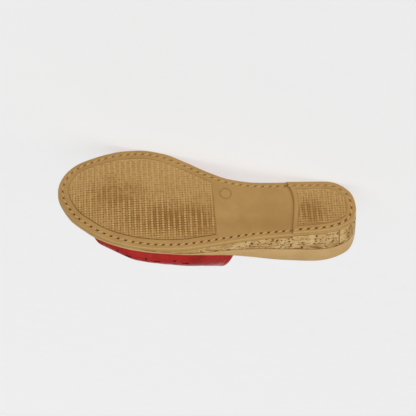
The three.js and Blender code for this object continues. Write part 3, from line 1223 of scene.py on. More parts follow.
def path(name: str, points: Array, marks: dict[str, Array], joined: bool = True) -> Mesh:
    """Makes a line of points, or loose points, that keep directions and sizes.

    Args:
        name: The mesh's name.
        points: The points in order.
        marks: Vectors to keep, one for each point or one for all.
        joined: Whether edges join the points.

    Returns:
        The mesh.
    """
    mesh = bpy.data.meshes.new(name)
    mesh.from_pydata(points.tolist(), [(i, i + 1) for i in range(len(points) - 1)] if joined else [], [])
    for mark, vectors in marks.items():
        kept = mesh.attributes.new(mark, "FLOAT_VECTOR", "POINT")
        kept.data.foreach_set("vector", np.broadcast_to(vectors, points.shape).astype(np.float32).ravel())
    return mesh


@dataclass(frozen=True)
class StitchRow:
    """A row of stitches: how far apart they are, their size and how far they slant across the row."""

    pitch: float
    length: float
    width: float
    height: float
    slant_deg: float = 0.0

    def sewn(self, route: Mesh, thread: Material) -> Mesh:
        """Lays the stitches along a path.

        Args:
            route: The path, which keeps the direction away from the surface.
            thread: The stitches' material.

        Returns:
            The stitches' mesh.
        """
        sizes = {
            "Pitch": self.pitch,
            "Length": self.length,
            "Width": self.width,
            "Height": self.height,
            "Slant": math.radians(self.slant_deg),
            "Material": thread,
        }
        return StitchRecipe().make(route, sizes)


@dataclass
class Bench:
    """Where pieces are finished: laid down, made smooth, and tied to the frame."""

    standing: StandingFrame
    sharp_deg: float = 42.0

    def painted(self, finish: Finish) -> Material:
        """Builds a material.

        Args:
            finish: What is painted on it.

        Returns:
            The material.
        """
        shader = Shader(finish.name, self.standing)
        finish.paint(shader)
        return shader.material

    def deliver(
        self, name: str, mesh: Mesh, slot: Slot, materials: Sequence[Material] = (), node: str | None = None
    ) -> None:
        """Finishes a piece.

        Args:
            name: The piece's name.
            mesh: Its mesh, standing and in millimetres.
            slot: The record's slot for its finish; not used.
            materials: Its materials, where the mesh has none yet.
            node: The CAD node that it stands for.
        """
        mesh.name = name
        mesh.transform(self.standing.matrix)
        mesh.shade_smooth()
        mesh.set_sharp_from_angle(angle=math.radians(self.sharp_deg))
        for material in materials:
            mesh.materials.append(material)
        piece = bpy.data.objects.new(name, mesh)
        bpy.context.scene.collection.objects.link(piece)
        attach(piece, BODY)
        if node is not None:
            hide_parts(node)
        log.info("%s: %d triangles", name, sum(len(face.vertices) - 2 for face in mesh.polygons))


Level = tuple[Numbers, Numbers]


def wall_rings(form: SoleForm, side: Side, station: Array, levels: Sequence[Level]) -> list[Array]:
    """Columns of points on a side wall, one for each height and inset."""
    return [form.wall_point(station, side, height, inset) for height, inset in levels]


def rounded_levels(edge: Numbers, upwards: bool, radius: Numbers, facets: int = EDGE_FACETS) -> list[Level]:
    """Heights and insets of a wall's rounded edge, from the wall to the face.

    Args:
        edge: The face's height.
        upwards: Whether the face is the wall's upper end.
        radius: The edge's radius.
        facets: How many facets it has.

    Returns:
        A height and an inset for each column.
    """
    sign = -1.0 if upwards else 1.0
    turns = np.linspace(0, math.pi / 2, facets + 1)
    return [(edge + sign * radius * (1 - math.sin(a)), radius * (1 - math.cos(a))) for a in turns]


def bridged(edges: dict[Side, list[Array]], columns: int) -> Array:
    """Joins the columns of both edges across the sole.

    Args:
        edges: Each edge's columns, from the outside in.
        columns: How many columns span the face, with the last one of each edge.

    Returns:
        The grid, rows by columns.
    """
    lateral, medial = edges[Side.LATERAL], edges[Side.MEDIAL]
    middle = [mixed(lateral[-1], medial[-1], share) for share in np.linspace(0, 1, columns)[1:-1]]
    return np.stack([*lateral, *middle, *medial[::-1]], 1)


def layer_face(form: SoleForm, station: Array, levels: Sequence[Level], columns: int) -> Array:
    """Grid of points along one wall, across a layer's face and along the other wall."""
    return bridged({side: wall_rings(form, side, station, levels) for side in Side}, columns)


def looped(runs: dict[Side, Array]) -> Array:
    """Joins the lateral run and the medial run, which end at one tip, to one line."""
    return np.concatenate([runs[Side.LATERAL], runs[Side.MEDIAL][::-1][1:]])


def seam_shade(edge_columns: int, columns: int) -> Array:
    """Painted shade across a layer's face: none on its walls, most where its rounded edges meet the next
    layer.

    Args:
        edge_columns: How many columns each wall and rounded edge has.
        columns: How many columns there are in all.

    Returns:
        The painted shade of each column.
    """
    painted_shade = np.full(columns, -SEAM_SHADE)
    painted_shade[:edge_columns] = -SEAM_SHADE * np.linspace(0, 1, edge_columns) ** 2
    painted_shade[-edge_columns:] = painted_shade[:edge_columns][::-1]
    return painted_shade


@dataclass(frozen=True)
class EdgeSize:
    """A size that differs between the lateral edge, the medial edge and the sole's tips."""

    lateral: float
    medial: float
    tip: float
    settle: float = 0.16

    def at(self, station: Array, side: Side) -> Array:
        """Reads the size at stations of one edge."""
        flank = self.lateral if side is Side.LATERAL else self.medial
        return mixed(self.tip, flank, ease(np.minimum(station, 1 - station), 0, self.settle))


@dataclass(frozen=True)
class Furrow:
    """A groove's section: offsets from its middle, and the share of its depth at each."""

    depth: float
    offsets: tuple[float, ...]
    shares: tuple[float, ...]

    def share(self, away: Array) -> Array:
        """Share of the depth at a distance from the middle."""
        return np.interp(away, self.offsets, self.shares, left=0, right=0)

    def lines(
        self, line: EdgeSize, painted_shade: EdgeSize, station: Array, side: Side, opened: Array
    ) -> list[tuple[Numbers, ...]]:
        """Lays the section beside an edge of the tread.

        Args:
            line: How far inside the edge its middle runs.
            painted_shade: Painted shade where it is deepest.
            station: The cross rows on that edge.
            side: Which edge.
            opened: Share of its depth that it has at each row.

        Returns:
            Inset, depth and painted shade of each line.
        """
        inset = line.at(station, side)
        tone = opened * painted_shade.at(station, side)
        section = zip(self.offsets, self.shares)
        return [(inset + offset, opened * part * self.depth, tone * part) for offset, part in section]


STITCH_CHANNEL = Furrow(0.5, (-0.85, -0.55, 0.0, 0.55, 0.85), (0.0, 0.85, 1.0, 0.85, 0.0))
BORDER_GROOVE = Furrow(0.4, (-0.5, -0.12, 0.12, 0.5), (0.0, 1.0, 1.0, 0.0))


@dataclass
class TreadLine:
    """One lengthwise line of points of the tread, with its painted shade or its worn paleness, and its share
    of tread panel.
    """

    points: Array
    relief: Numbers
    panel: Numbers = 0.0


def tread_slab(name: str, lines: Sequence[TreadLine], over: Array, front_face: bool) -> Mesh:
    """Closes a tread's lines and its hidden top face to one body.

    Args:
        name: The mesh's name.
        lines: The tread from its lateral wall to its medial wall.
        over: The top face, with as many points.
        front_face: Whether the body ends in a face at the front.

    Returns:
        The closed mesh.
    """
    relief = np.stack([np.broadcast_to(line.relief, len(over)) for line in lines], 1)
    panel = np.stack([np.broadcast_to(line.panel, len(over)) for line in lines], 1)
    hidden = np.zeros_like(relief)
    if front_face:
        # Painted shade on the breast's face, darkest where it meets the sheet
        hidden[-1] = -BREAST_SHADE
    marks = {RELIEF: (relief, hidden), PANEL: (panel, np.zeros_like(panel))}
    under = np.stack([line.points for line in lines], 1)
    return slab(name, under, over, (False, front_face), marks)


@dataclass
class HeelLift:
    """Thin moulded lift under the heel, with its own stitch channel and bordered tread panel."""

    form: SoleForm
    inset: float = 0.2
    sunk: float = 0.6
    edge_radius: float = 0.8
    stitch_line: EdgeSize = EdgeSize(2.7, 3.6, 3.8)
    # Painted shade in the stitch channel and the border groove, by edge
    stitch_shade: EdgeSize = EdgeSize(0.95, 0.4, 0.7)
    stitch_fade: Span = (1.0, 2.2)
    stitch_clear: float = 3.4
    border: EdgeSize = EdgeSize(6.2, 6.6, 7.4)
    border_shade: EdgeSize = EdgeSize(0.5, 0.15, 0.15)
    border_fade: float = 0.6
    # Painted shade in the groove at the panel's front
    front_shade: float = 0.25
    lip_radius: float = 1.3
    lip_rows: tuple[float, ...] = (0, 0.1, 0.3, 0.6, 0.9, 1.3, 2.6)
    panel_front: float = 4.1
    panel_row: float = 7.5
    panel_clear: Span = (1.4, 1.3)
    panel_grid: tuple[int, int] = (60, 9)
    breast_lateral: float = 53.0
    breast_middle: float = 52.0
    breast_medial: float = 58.8
    half_width: float = 23.5
    rows: int = 44
    columns: int = 26
    path_points: int = 90

    @property
    def ceiling(self) -> float:
        """Height of its hidden top face, a little inside the outsole's sheet."""
        return float(self.form.ground(0.0)) + self.sunk

    def breast(self, across: Numbers) -> Numbers:
        """How far forward the breast is at a place across it, from -1 lateral to 1 medial."""
        end = np.where(across > 0, self.breast_medial, self.breast_lateral)
        return self.breast_middle + (end - self.breast_middle) * across * across

    def _inside(self, inset: float) -> float:
        """The place across the breast that lies an inset inside the edge."""
        return 1 - inset / self.half_width

    def _shares(self) -> Array:
        """Places the cross rows, closer together at the front.

        Returns:
            Each row's share of the way from the heel tip to the breast.
        """
        border = self.panel_front + np.array(BORDER_GROOVE.offsets)
        behind = np.array([*self.lip_rows, *border, self.panel_row])
        close = self.form.station(self.breast_middle - behind) / self.form.station(self.breast_middle)
        even = np.linspace(0, close.min(), self.rows)[:-1]
        return np.sort(np.concatenate([even, close]))

    def _edge(self, side: Side, share: Array) -> list[TreadLine]:
        """Lines of one edge, from its hidden top to the panel.

        Args:
            side: Which edge.
            share: The cross rows.

        Returns:
            The lines.
        """
        form = self.form
        reach = [self.breast(side.value * self._inside(inset)) for inset in (0.0, self.border.tip)]
        outer, inner = (share * form.station(end) for end in reach)
        wall = [(self.ceiling, 0.0), *rounded_levels(0.0, False, self.edge_radius)[:-1]]
        rings = wall_rings(form, side, outer, [(height, inset + self.inset) for height, inset in wall])
        lines = [TreadLine(ring, EDGE_WEAR) for ring in rings]
        behind = form.reach(outer[-1:]) - form.reach(outer)
        lip = rounding(behind, self.lip_radius)
        stitched = ease(behind, *self.stitch_fade)
        inside = ease(behind, self.panel_front - self.border_fade, self.panel_front)
        faces = [(self.edge_radius, 0.0, 0.0)]
        faces += STITCH_CHANNEL.lines(self.stitch_line, self.stitch_shade, outer, side, stitched)
        faces += BORDER_GROOVE.lines(self.border, self.border_shade, outer, side, inside)
        for inset, depth, painted_shade in faces:
            station = mixed(outer, inner, np.clip(inset / self.border.tip, 0, 1))
            flat = form.wall(station, side, 0.0, inset + self.inset)
            lines.append(TreadLine(raised(flat, np.maximum(depth, lip)), -painted_shade))
        lines[-1].panel = inside
        return lines

    def _middle(self, part: float, share: Array) -> TreadLine:
        """A line of the panel between the edges.

        Args:
            part: Where across, from -1 lateral to 1 medial.
            share: The cross rows.

        Returns:
            The line.
        """
        form = self.form
        station = share * form.station(self.breast(part * self._inside(self.border.tip)))
        behind = form.reach(station[-1:]) - form.reach(station)
        last = BORDER_GROOVE.offsets[-1] + self.inset
        ends = [form.wall(station, side, 0.0, self.border.at(station, side) + last) for side in Side]
        notch = BORDER_GROOVE.share(behind - self.panel_front)
        height = np.maximum(notch * BORDER_GROOVE.depth, rounding(behind, self.lip_radius))
        points = raised(mixed(*ends, (part + 1) / 2), height)
        panel = ease(behind, self.panel_front, self.panel_front + self.border_fade)
        return TreadLine(points, -self.front_shade * notch, panel)

    def body(self) -> Mesh:
        """Builds the lift.

        Returns:
            The closed mesh.
        """
        share = self._shares()
        lateral, medial = (self._edge(side, share) for side in Side)
        middle = [self._middle(part, share) for part in np.linspace(-1, 1, self.columns)[1:-1]]
        lines = [*lateral, *middle, *reversed(medial)]
        over = np.stack([line.points for line in lines], 1)
        over[:, :, 2] = self.ceiling
        return tread_slab("heel_lift", lines, over, True)

    def panel(self) -> Mesh:
        """The surface that the panel's beads stand on.

        Returns:
            The open mesh.
        """
        front_clear, side_clear = self.panel_clear
        rows, columns = self.panel_grid
        front = self.breast_middle - self.panel_front - front_clear
        station = self.form.station(np.linspace(0, front, rows))
        clear = self.inset + side_clear
        ends = {
            side: [self.form.wall_point(station, side, 0.0, self.border.at(station, side) + clear)]
            for side in Side
        }
        return patch("heel_panel", bridged(ends, columns))

    def stitch_path(self, height: float) -> Mesh:
        """The path of the stitches round the heel.

        Args:
            height: How far above the lift's face it runs.

        Returns:
            The path.
        """
        runs = {}
        for side in Side:
            start = self.form.station(self.breast(side.value) - self.stitch_clear)
            station = np.linspace(start, 0, self.path_points)
            inset = self.stitch_line.at(station, side) + self.inset
            runs[side] = raised(self.form.wall(station, side, 0.0, inset), height)
        return path("heel_stitch_path", looped(runs), {OUTWARD: DOWN})


@dataclass(frozen=True)
class BeadField:
    """A field of beads: its middle rib, its counts of ribs and beads, how high they stand and its seed."""

    middle_rib: int
    ribs: int
    beads: int
    standing: float
    seed: int


@dataclass
class Outsole:
    """Tan rubber outsole: a sheet with moulded stitches and a tread panel, and a heel lift with its own."""

    form: SoleForm
    bench: Bench
    edge_radius: float = 0.8
    top_radius: Span = (0.35, 0.8)
    top_change: Span = (70.0, 40.0)
    flat_inset: float = 1.9
    stitch_line: EdgeSize = EdgeSize(3.8, 3.5, 4.0)
    # Painted shade in the stitch channel and the border groove, by edge
    stitch_shade: EdgeSize = EdgeSize(0.95, 0.5, 0.7)
    stitch_fade: Span = (45.0, 60.0)
    stitch_starts: Span = (57.0, 63.0)
    stitches: StitchRow = StitchRow(6.3, 4.9, 1.7, 1.3, 10.0)
    stitch_proud: float = 0.14
    path_points: int = 160
    border: EdgeSize = EdgeSize(8.4, 7.5, 9.0)
    border_shade: EdgeSize = EdgeSize(0.75, 0.25, 0.3)
    border_fade: float = 0.6
    # Painted shade in the groove at the panel's rear
    rear_shade: float = 0.25
    rear_slant: float = 2.85
    rear_spread: float = 42.0
    rear_rows: Span = (-1.2, 1.2)
    panel_rear: float = 116.8
    panel_clear: float = 1.4
    panel_grid: tuple[int, int] = (100, 13)
    # Painted shade in the corner before the heel's breast
    crook_shade: float = 0.38
    crook_reach: float = 1.2
    crook_behind: float = 2.0
    breast_rows: Place = (-1.0, 3.0, 0.8)
    row_clear: float = 0.35
    rows: int = 132
    columns: int = 26
    ring_centre: Span = (109.8, 9.9)
    ring_radius: float = 4.7
    ring_section: Span = (0.6, 0.4)
    ring_grid: tuple[int, int] = (49, 9)
    # Painted shade over the whole ring, for the shading of its embossed line
    ring_shade: float = 0.33
    ribs: RibPattern = RibPattern()
    bead: Place = (2.0, 1.5, 1.2)
    forefoot_beads: BeadField = BeadField(40, 31, 51, 1.0, 4)
    heel_beads: BeadField = BeadField(6, 11, 23, 0.5, 9)

    def __post_init__(self) -> None:
        """Lays out the heel lift, which the sheet's rows follow."""
        self.lift = HeelLift(self.form)

    def build(self) -> None:
        """Builds and dresses the sheet, the lift, the ring, the stitches and the treads."""
        rubber = self.bench.painted(TanRubber(ribs=self.ribs))
        self.bench.deliver("outsole_sheet", self._sheet(), Slot.RUBBER, (rubber, rubber), "outsole")
        self.bench.deliver("heel_lift", self.lift.body(), Slot.RUBBER, (rubber, rubber))
        self.bench.deliver("shank_ring", self._ring(), Slot.RUBBER, (rubber,))
        self._stitch()
        self._tread(rubber)

    def _slanted(self, x: Array, side: Side) -> Array:
        """Where cross rows meet one edge, slanted as the panel's rear border is, and less away from it."""
        near = np.clip(1 - ((x - self.panel_rear) / self.rear_spread) ** 2, 0, 1) ** 2
        return x + side.value * self.rear_slant * near

    def _row_stations(self) -> tuple[Array, dict[Side, Array]]:
        """Places the sheet's cross rows, closer together at the panel's rear border and at the heel's breast.

        Returns:
            Each row's distance in front of the border, and its station at each edge.
        """
        before, after, step = self.breast_rows
        border = self.panel_rear + np.array([*BORDER_GROOVE.offsets, *self.rear_rows])
        breast = np.arange(self.lift.breast_middle + before, self.lift.breast_medial + after, step)
        close = np.concatenate([border, breast])
        even = self.form.reach(np.linspace(0, 1, self.rows))
        clear = even[np.min(np.abs(even[:, None] - close), axis=1) > self.row_clear]
        x = np.sort(np.concatenate([clear, close]))
        return x - self.panel_rear, {side: self.form.station(self._slanted(x, side)) for side in Side}

    def _crook(self, points: Array) -> Array:
        """Painted shade on the sheet in the corner before the heel's breast.

        Args:
            points: Points of the sheet.

        Returns:
            The painted shade at each point.
        """
        station = self.form.station(points[:, 0])
        half = np.maximum(self.form.edge[Side.MEDIAL](station), 1)
        ahead = points[:, 0] - self.lift.breast(np.clip(points[:, 1] / half, -1, 1))
        fading = np.exp(-((np.maximum(ahead, 0) / self.crook_reach) ** 2))
        return self.crook_shade * fading * (ahead > -self.crook_behind)

    def _edge(self, side: Side, station: Array, ahead: Array) -> list[TreadLine]:
        """Lines of one edge of the sheet, from its top to the tread panel.

        Args:
            side: Which edge.
            station: The cross rows on that edge.
            ahead: The rows' distance in front of the panel's rear border.

        Returns:
            The lines.
        """
        form = self.form
        x = form.reach(station)
        ground = form.ground(x)
        crown = mixed(*self.top_radius, ease(x, *self.top_change))
        levels = rounded_levels(form.outsole(x), True, crown)[::-1]
        levels += rounded_levels(ground, False, self.edge_radius)[:-1]
        lines = [TreadLine(ring, EDGE_WEAR) for ring in wall_rings(form, side, station, levels)]
        # Painted shade along the sheet's top edge, where it meets the cork
        lines[0].relief = -SEAM_SHADE
        inside = ease(ahead, -self.border_fade, self.border_fade)
        stitched = ease(x, *self.stitch_fade)
        faces = [(inset, 0.0, 0.0) for inset in (self.edge_radius, self.flat_inset)]
        faces += STITCH_CHANNEL.lines(self.stitch_line, self.stitch_shade, station, side, stitched)
        faces += BORDER_GROOVE.lines(self.border, self.border_shade, station, side, inside)
        for inset, depth, painted_shade in faces:
            flat = form.wall(station, side, ground, inset)
            points = raised(flat, form.ground(flat[:, 0]) + depth)
            lines.append(TreadLine(points, -np.maximum(painted_shade, self._crook(points))))
        lines[-1].panel = inside
        return lines

    def _sheet(self) -> Mesh:
        """Builds the outsole's sheet.

        Returns:
            The closed mesh.
        """
        ahead, stations = self._row_stations()
        lateral, medial = (self._edge(side, stations[side], ahead) for side in Side)
        notch = BORDER_GROOVE.share(ahead)
        panel = ease(ahead, 0, self.border_fade)
        middle = []
        for share in np.linspace(0, 1, self.columns)[1:-1]:
            points = mixed(lateral[-1].points, medial[-1].points, share)
            points[:, 2] = self.form.ground(points[:, 0]) + notch * BORDER_GROOVE.depth
            painted_shade = np.maximum(notch * self.rear_shade, self._crook(points))
            middle.append(TreadLine(points, -painted_shade, panel))
        lines = [*lateral, *middle, *reversed(medial)]
        share = np.linspace(0, 1, len(lines))[None, :, None]
        over = mixed(lines[0].points[:, None], lines[-1].points[:, None], share)
        return tread_slab("outsole_sheet", lines, over, False)

    def _ring(self) -> Mesh:
        """Builds the plain embossed ring on the shank.

        Returns:
            The closed mesh.
        """
        around, across = (np.linspace(0, 2 * math.pi, count) for count in self.ring_grid)
        half_width, half_height = self.ring_section
        radius = self.ring_radius + half_width * np.cos(across)
        x = self.ring_centre[0] + radius * np.cos(around[:, None])
        y = self.ring_centre[1] + radius * np.sin(around[:, None])
        z = self.form.ground(x) - half_height * np.sin(across)
        mesh = patch("shank_ring", np.stack([x, y, z], -1))
        # The whole ring carries painted shade
        keep_numbers(mesh, RELIEF, np.full(len(mesh.vertices), -self.ring_shade))
        closed(mesh)
        return mesh

    def _stitch_path(self, height: float) -> Mesh:
        """The path of the stitches from the shank round the toe and back.

        Args:
            height: How far above the sheet's face it runs.

        Returns:
            The path.
        """
        form = self.form
        runs = {}
        for side, start in zip(Side, self.stitch_starts):
            station = np.linspace(form.station(start), 1, self.path_points)
            ground = form.ground(form.reach(station))
            flat = form.wall(station, side, ground, self.stitch_line.at(station, side))
            runs[side] = raised(flat, form.ground(flat[:, 0]) + height)
        return path("sole_stitch_path", looped(runs), {OUTWARD: DOWN})

    def _stitch(self) -> None:
        """Lays the moulded stitches of the sheet and of the lift."""
        thread = self.bench.painted(MOULDED_THREAD)
        middle = self.stitches.height / 2 - self.stitch_proud
        for name, route in (("sole", self._stitch_path(middle)), ("heel", self.lift.stitch_path(middle))):
            self.bench.deliver(f"{name}_stitches", self.stitches.sewn(route, thread), Slot.RUBBER)

    def _panel(self) -> Mesh:
        """The surface that the forefoot's beads stand on.

        Returns:
            The open mesh.
        """
        form = self.form
        rows, columns = self.panel_grid
        x = np.linspace(self.panel_rear + self.panel_clear, form.length, rows)
        ends = {}
        for side in Side:
            station = form.station(np.minimum(self._slanted(x, side), form.length))
            inset = self.border.at(station, side) + self.panel_clear
            ends[side] = [form.wall(station, side, 0.0, inset)]
        flat = bridged(ends, columns)
        return patch("forefoot_panel", raised(flat, form.ground(flat[..., 0])))

    def _tread(self, rubber: Material) -> None:
        """Sets the beaded ribs on the forefoot panel and on the heel panel.

        Args:
            rubber: The outsole's rubber.
        """
        recipe = BeadRecipe()
        treads = (
            ("forefoot_tread", self.forefoot_beads, self._panel()),
            ("heel_tread", self.heel_beads, self.lift.panel()),
        )
        for name, field, panel in treads:
            sizes = {
                "Centre": self.ribs.centre(field.middle_rib),
                "Ribs": field.ribs,
                "Rib Pitch": self.ribs.pitch,
                "Beads": field.beads,
                "Bead Pitch": self.ribs.bead_pitch,
                "Bead": self.bead,
                "Turn": (0.0, 0.0, -math.radians(self.ribs.turn_deg)),
                "Standing": field.standing,
                "Seed": field.seed,
                "Material": rubber,
            }
            self.bench.deliver(name, recipe.make(panel, sizes), Slot.RUBBER)


@dataclass
class CorkWedge:
    """Cork wedge between the outsole and the footbed, with dark chips in its walls."""

    form: SoleForm
    bench: Bench
    front: float = 166.0
    seat_gap: float = 0.3
    edge_radius: float = 0.6
    heel_notch: float = 2.0
    notch_fade: Span = (45.0, 8.0)
    heel_set_back: float = 1.7
    set_back_fade: Span = (16.0, 2.0)
    rows: int = 120
    columns: int = 8
    chip_density: float = 0.03
    chip_smallest: Place = (0.9, 0.8, 0.1)
    chip_largest: Place = (2.1, 2.4, 0.24)
    chip_seed: int = 11
    chip_front: float = 150.0
    chip_clear: float = 0.6
    chip_rows: int = 90

    def build(self) -> None:
        """Builds and dresses the wedge and its chips."""
        cork = self.bench.painted(FleckedCork())
        self.bench.deliver("cork_body", self._body(), Slot.CORK, (cork, cork), "cork_wedge")
        sizes = {
            "Density": self.chip_density,
            "Smallest": self.chip_smallest,
            "Largest": self.chip_largest,
            "Seed": self.chip_seed,
            "Material": self.bench.painted(CORK_CHIP),
        }
        self.bench.deliver("cork_chips", FleckRecipe().make(self._walls(), sizes), Slot.CORK)

    def _stations(self, front: float, rows: int) -> Array:
        """Rows from the heel tip to a place in front of it."""
        return np.linspace(0, self.form.station(front), rows)

    def _body(self) -> Mesh:
        """Builds the wedge.

        Returns:
            The closed mesh.
        """
        form = self.form
        station = self._stations(self.front, self.rows)
        x = form.reach(station)
        floor = form.outsole(x) + self.seat_gap
        top = form.cork(x)
        half = (top - floor) / 2
        radius = np.minimum(self.edge_radius, half)
        notch = np.minimum(mixed(self.edge_radius, self.heel_notch, ease(x, *self.notch_fade)), half)
        back = self.heel_set_back * ease(x, *self.set_back_fade)
        middle = ((floor + top) / 2, 0.0)
        foot = [(height, inset + back) for height, inset in rounded_levels(floor, False, notch)]
        head = rounded_levels(top, True, radius)
        under = layer_face(form, station, [middle, *foot], self.columns)
        over = layer_face(form, station, [middle, *head], self.columns)
        edge_columns = 1 + len(head)
        hollow = form.hollow(np.linspace(-1, 1, self.columns)[1:-1])
        over[:, edge_columns:-edge_columns, 2] -= form.cork_sink(x)[:, None] * hollow
        # Painted shade on both rounded edges, where the cork meets the outsole and the footbed
        painted_shade = seam_shade(edge_columns, under.shape[1])
        rise = np.full(under.shape[1], 0.5)
        rise[1:-1] = 1.0
        marks = {RELIEF: (painted_shade, painted_shade), RISE: (1 - rise, rise)}
        return slab("cork_body", under, over, (False, True), marks)

    def _walls(self) -> Mesh:
        """Skins the wedge's walls for the chips to lie on.

        Returns:
            Both walls, as one open strip round the heel.
        """
        form = self.form
        station = self._stations(self.chip_front, self.chip_rows)
        x = form.reach(station)
        low = form.outsole(x) + self.seat_gap + self.chip_clear
        high = form.cork(x) - self.chip_clear
        levels = [(mixed(low, high, share), 0.0) for share in (0, 0.5, 1)]
        strips = [np.stack(wall_rings(form, side, station, levels), 1) for side in Side]
        return patch("cork_walls", np.concatenate([strips[0][::-1], strips[1][1:]]))


@dataclass
class Footbed:
    """Tan footbed, dished between soft edges."""

    form: SoleForm
    bench: Bench
    seat_gap: float = 0.3
    rim_share: float = 0.25
    rim_largest: float = 1.6
    rim_facets: int = 6
    foot_radius: float = 1.3
    rows: int = 150
    columns: int = 30

    def build(self) -> None:
        """Builds and dresses the footbed."""
        cover = self.bench.painted(TanCover())
        self.bench.deliver("footbed_body", self._body(), Slot.FOOTBED, (cover, cover), "footbed")

    def _body(self) -> Mesh:
        """Builds the footbed.

        Returns:
            The closed mesh.
        """
        form = self.form
        station = np.linspace(0, 1, self.rows)
        x = form.reach(station)
        floor = form.cork(x) + self.seat_gap
        top = form.rim(x)
        thick = top - floor
        rim = np.minimum(self.rim_largest, thick * self.rim_share)
        foot = np.minimum(self.foot_radius, thick * self.rim_share)
        waist = (floor + np.maximum(thick - rim, foot), 0.0)
        lower = [waist, *rounded_levels(floor, False, foot)]
        upper = rounded_levels(top, True, rim, self.rim_facets)
        shaded, edge = len(lower), len(upper)
        lower += lower[-1:] * (edge - shaded)
        under = layer_face(form, station, lower, self.columns)
        over = layer_face(form, station, upper, self.columns)
        hollow = form.hollow(np.linspace(-1, 1, self.columns)[1:-1])
        over[:, edge:-edge, 2] -= form.dish(x)[:, None] * hollow
        under[:, edge:-edge, 2] -= form.cork_sink(x)[:, None] * hollow
        # Painted shade on the lower rounded edge, where the footbed meets the cork
        painted_shade = seam_shade(shaded, under.shape[1])
        return slab("footbed_body", under, over, marks={RELIEF: (painted_shade, np.zeros_like(painted_shade))})


@dataclass
class SockInsole:
    """Thin sock over the footbed, with a soft edge and a row of stitches inside it."""

    form: SoleForm
    bench: Bench
    inset: float = 4.4
    thickness: float = 1.6
    seat_gap: float = 0.3
    edge_radius: float = 0.9
    edge_columns: int = 5
    rows: int = 140
    columns: int = 36
    stitch_inset: float = 3.0
    stitches: StitchRow = StitchRow(4.0, 3.2, 0.7, 0.5)
    path_points: int = 160
    probe: float = 0.5

    def build(self) -> None:
        """Builds and dresses the sock."""
        leather = self.bench.painted(SockLeather())
        self.bench.deliver("sock", self._body(), Slot.SOCK, (leather, leather), "insole")
        thread = self.bench.painted(SOCK_THREAD)
        self.bench.deliver("sock_stitches", self.stitches.sewn(self._stitch_path(), thread), Slot.SOCK)

    def _cover(self, flat: Array) -> Array:
        """Height of the footbed's face under points of the sock.

        Args:
            flat: The points' X and Y.

        Returns:
            The height at each point.
        """
        form = self.form
        station = form.station(flat[..., 0])
        rim = form.rim(flat[..., 0])
        lateral, medial = (form.wall(station, side, rim)[..., 1] for side in Side)
        across = np.clip((2 * flat[..., 1] - lateral - medial) / np.maximum(medial - lateral, 1), -1, 1)
        return rim - form.dish(flat[..., 0]) * form.hollow(across)

    def _stitch_path(self) -> Mesh:
        """The path of the stitches round the sock.

        Returns:
            The path.
        """
        form = self.form
        station = np.linspace(0, 1, self.path_points)
        rim = form.rim(form.reach(station))
        inset = self.inset + self.stitch_inset
        flat = looped({side: form.wall(station, side, rim, inset) for side in Side})
        moves = self.probe * np.eye(2)
        slopes = [self._cover(flat + move) - self._cover(flat - move) for move in moves]
        outward = np.stack([-slopes[0], -slopes[1], np.ones(len(flat))], -1)
        height = self._cover(flat) + self.seat_gap + self.thickness
        return path("sock_stitch_path", raised(flat, height), {OUTWARD: outward})

    def _body(self) -> Mesh:
        """Builds the sock.

        Returns:
            The closed mesh.
        """
        form = self.form
        station = np.linspace(0, 1, self.rows)
        rim = form.rim(form.reach(station))
        turns = np.linspace(0, math.pi / 2, self.edge_columns)
        insets = self.inset + self.edge_radius * (1 - np.cos(turns))
        edges = {side: [form.wall(station, side, rim, inset) for inset in insets] for side in Side}
        flat = bridged(edges, self.columns)
        seat = self._cover(flat) + self.seat_gap
        fall = np.zeros(flat.shape[1])
        fall[: self.edge_columns] = self.edge_radius * (1 - np.sin(turns))
        fall[-self.edge_columns :] = fall[: self.edge_columns][::-1]
        return slab("sock", raised(flat, seat), raised(flat, seat + self.thickness - fall))


@dataclass(frozen=True)
class Cut:
    """Where the vamp's front or rear edge lies at the feather lines and at the crown."""

    lateral: float
    crown: float
    medial: float

    def at(self, share: Array) -> Array:
        """How far forward the cut is, at a share of the way from the lateral to the medial feather line."""
        feather = mixed(self.lateral, self.medial, share)
        return mixed(feather, self.crown, np.sin(math.pi * share))


@dataclass(frozen=True)
class Crease:
    """A crease over the vamp: where it lies, how far its ends lean from there and how deep it is."""

    at: float
    lean: float
    depth: float


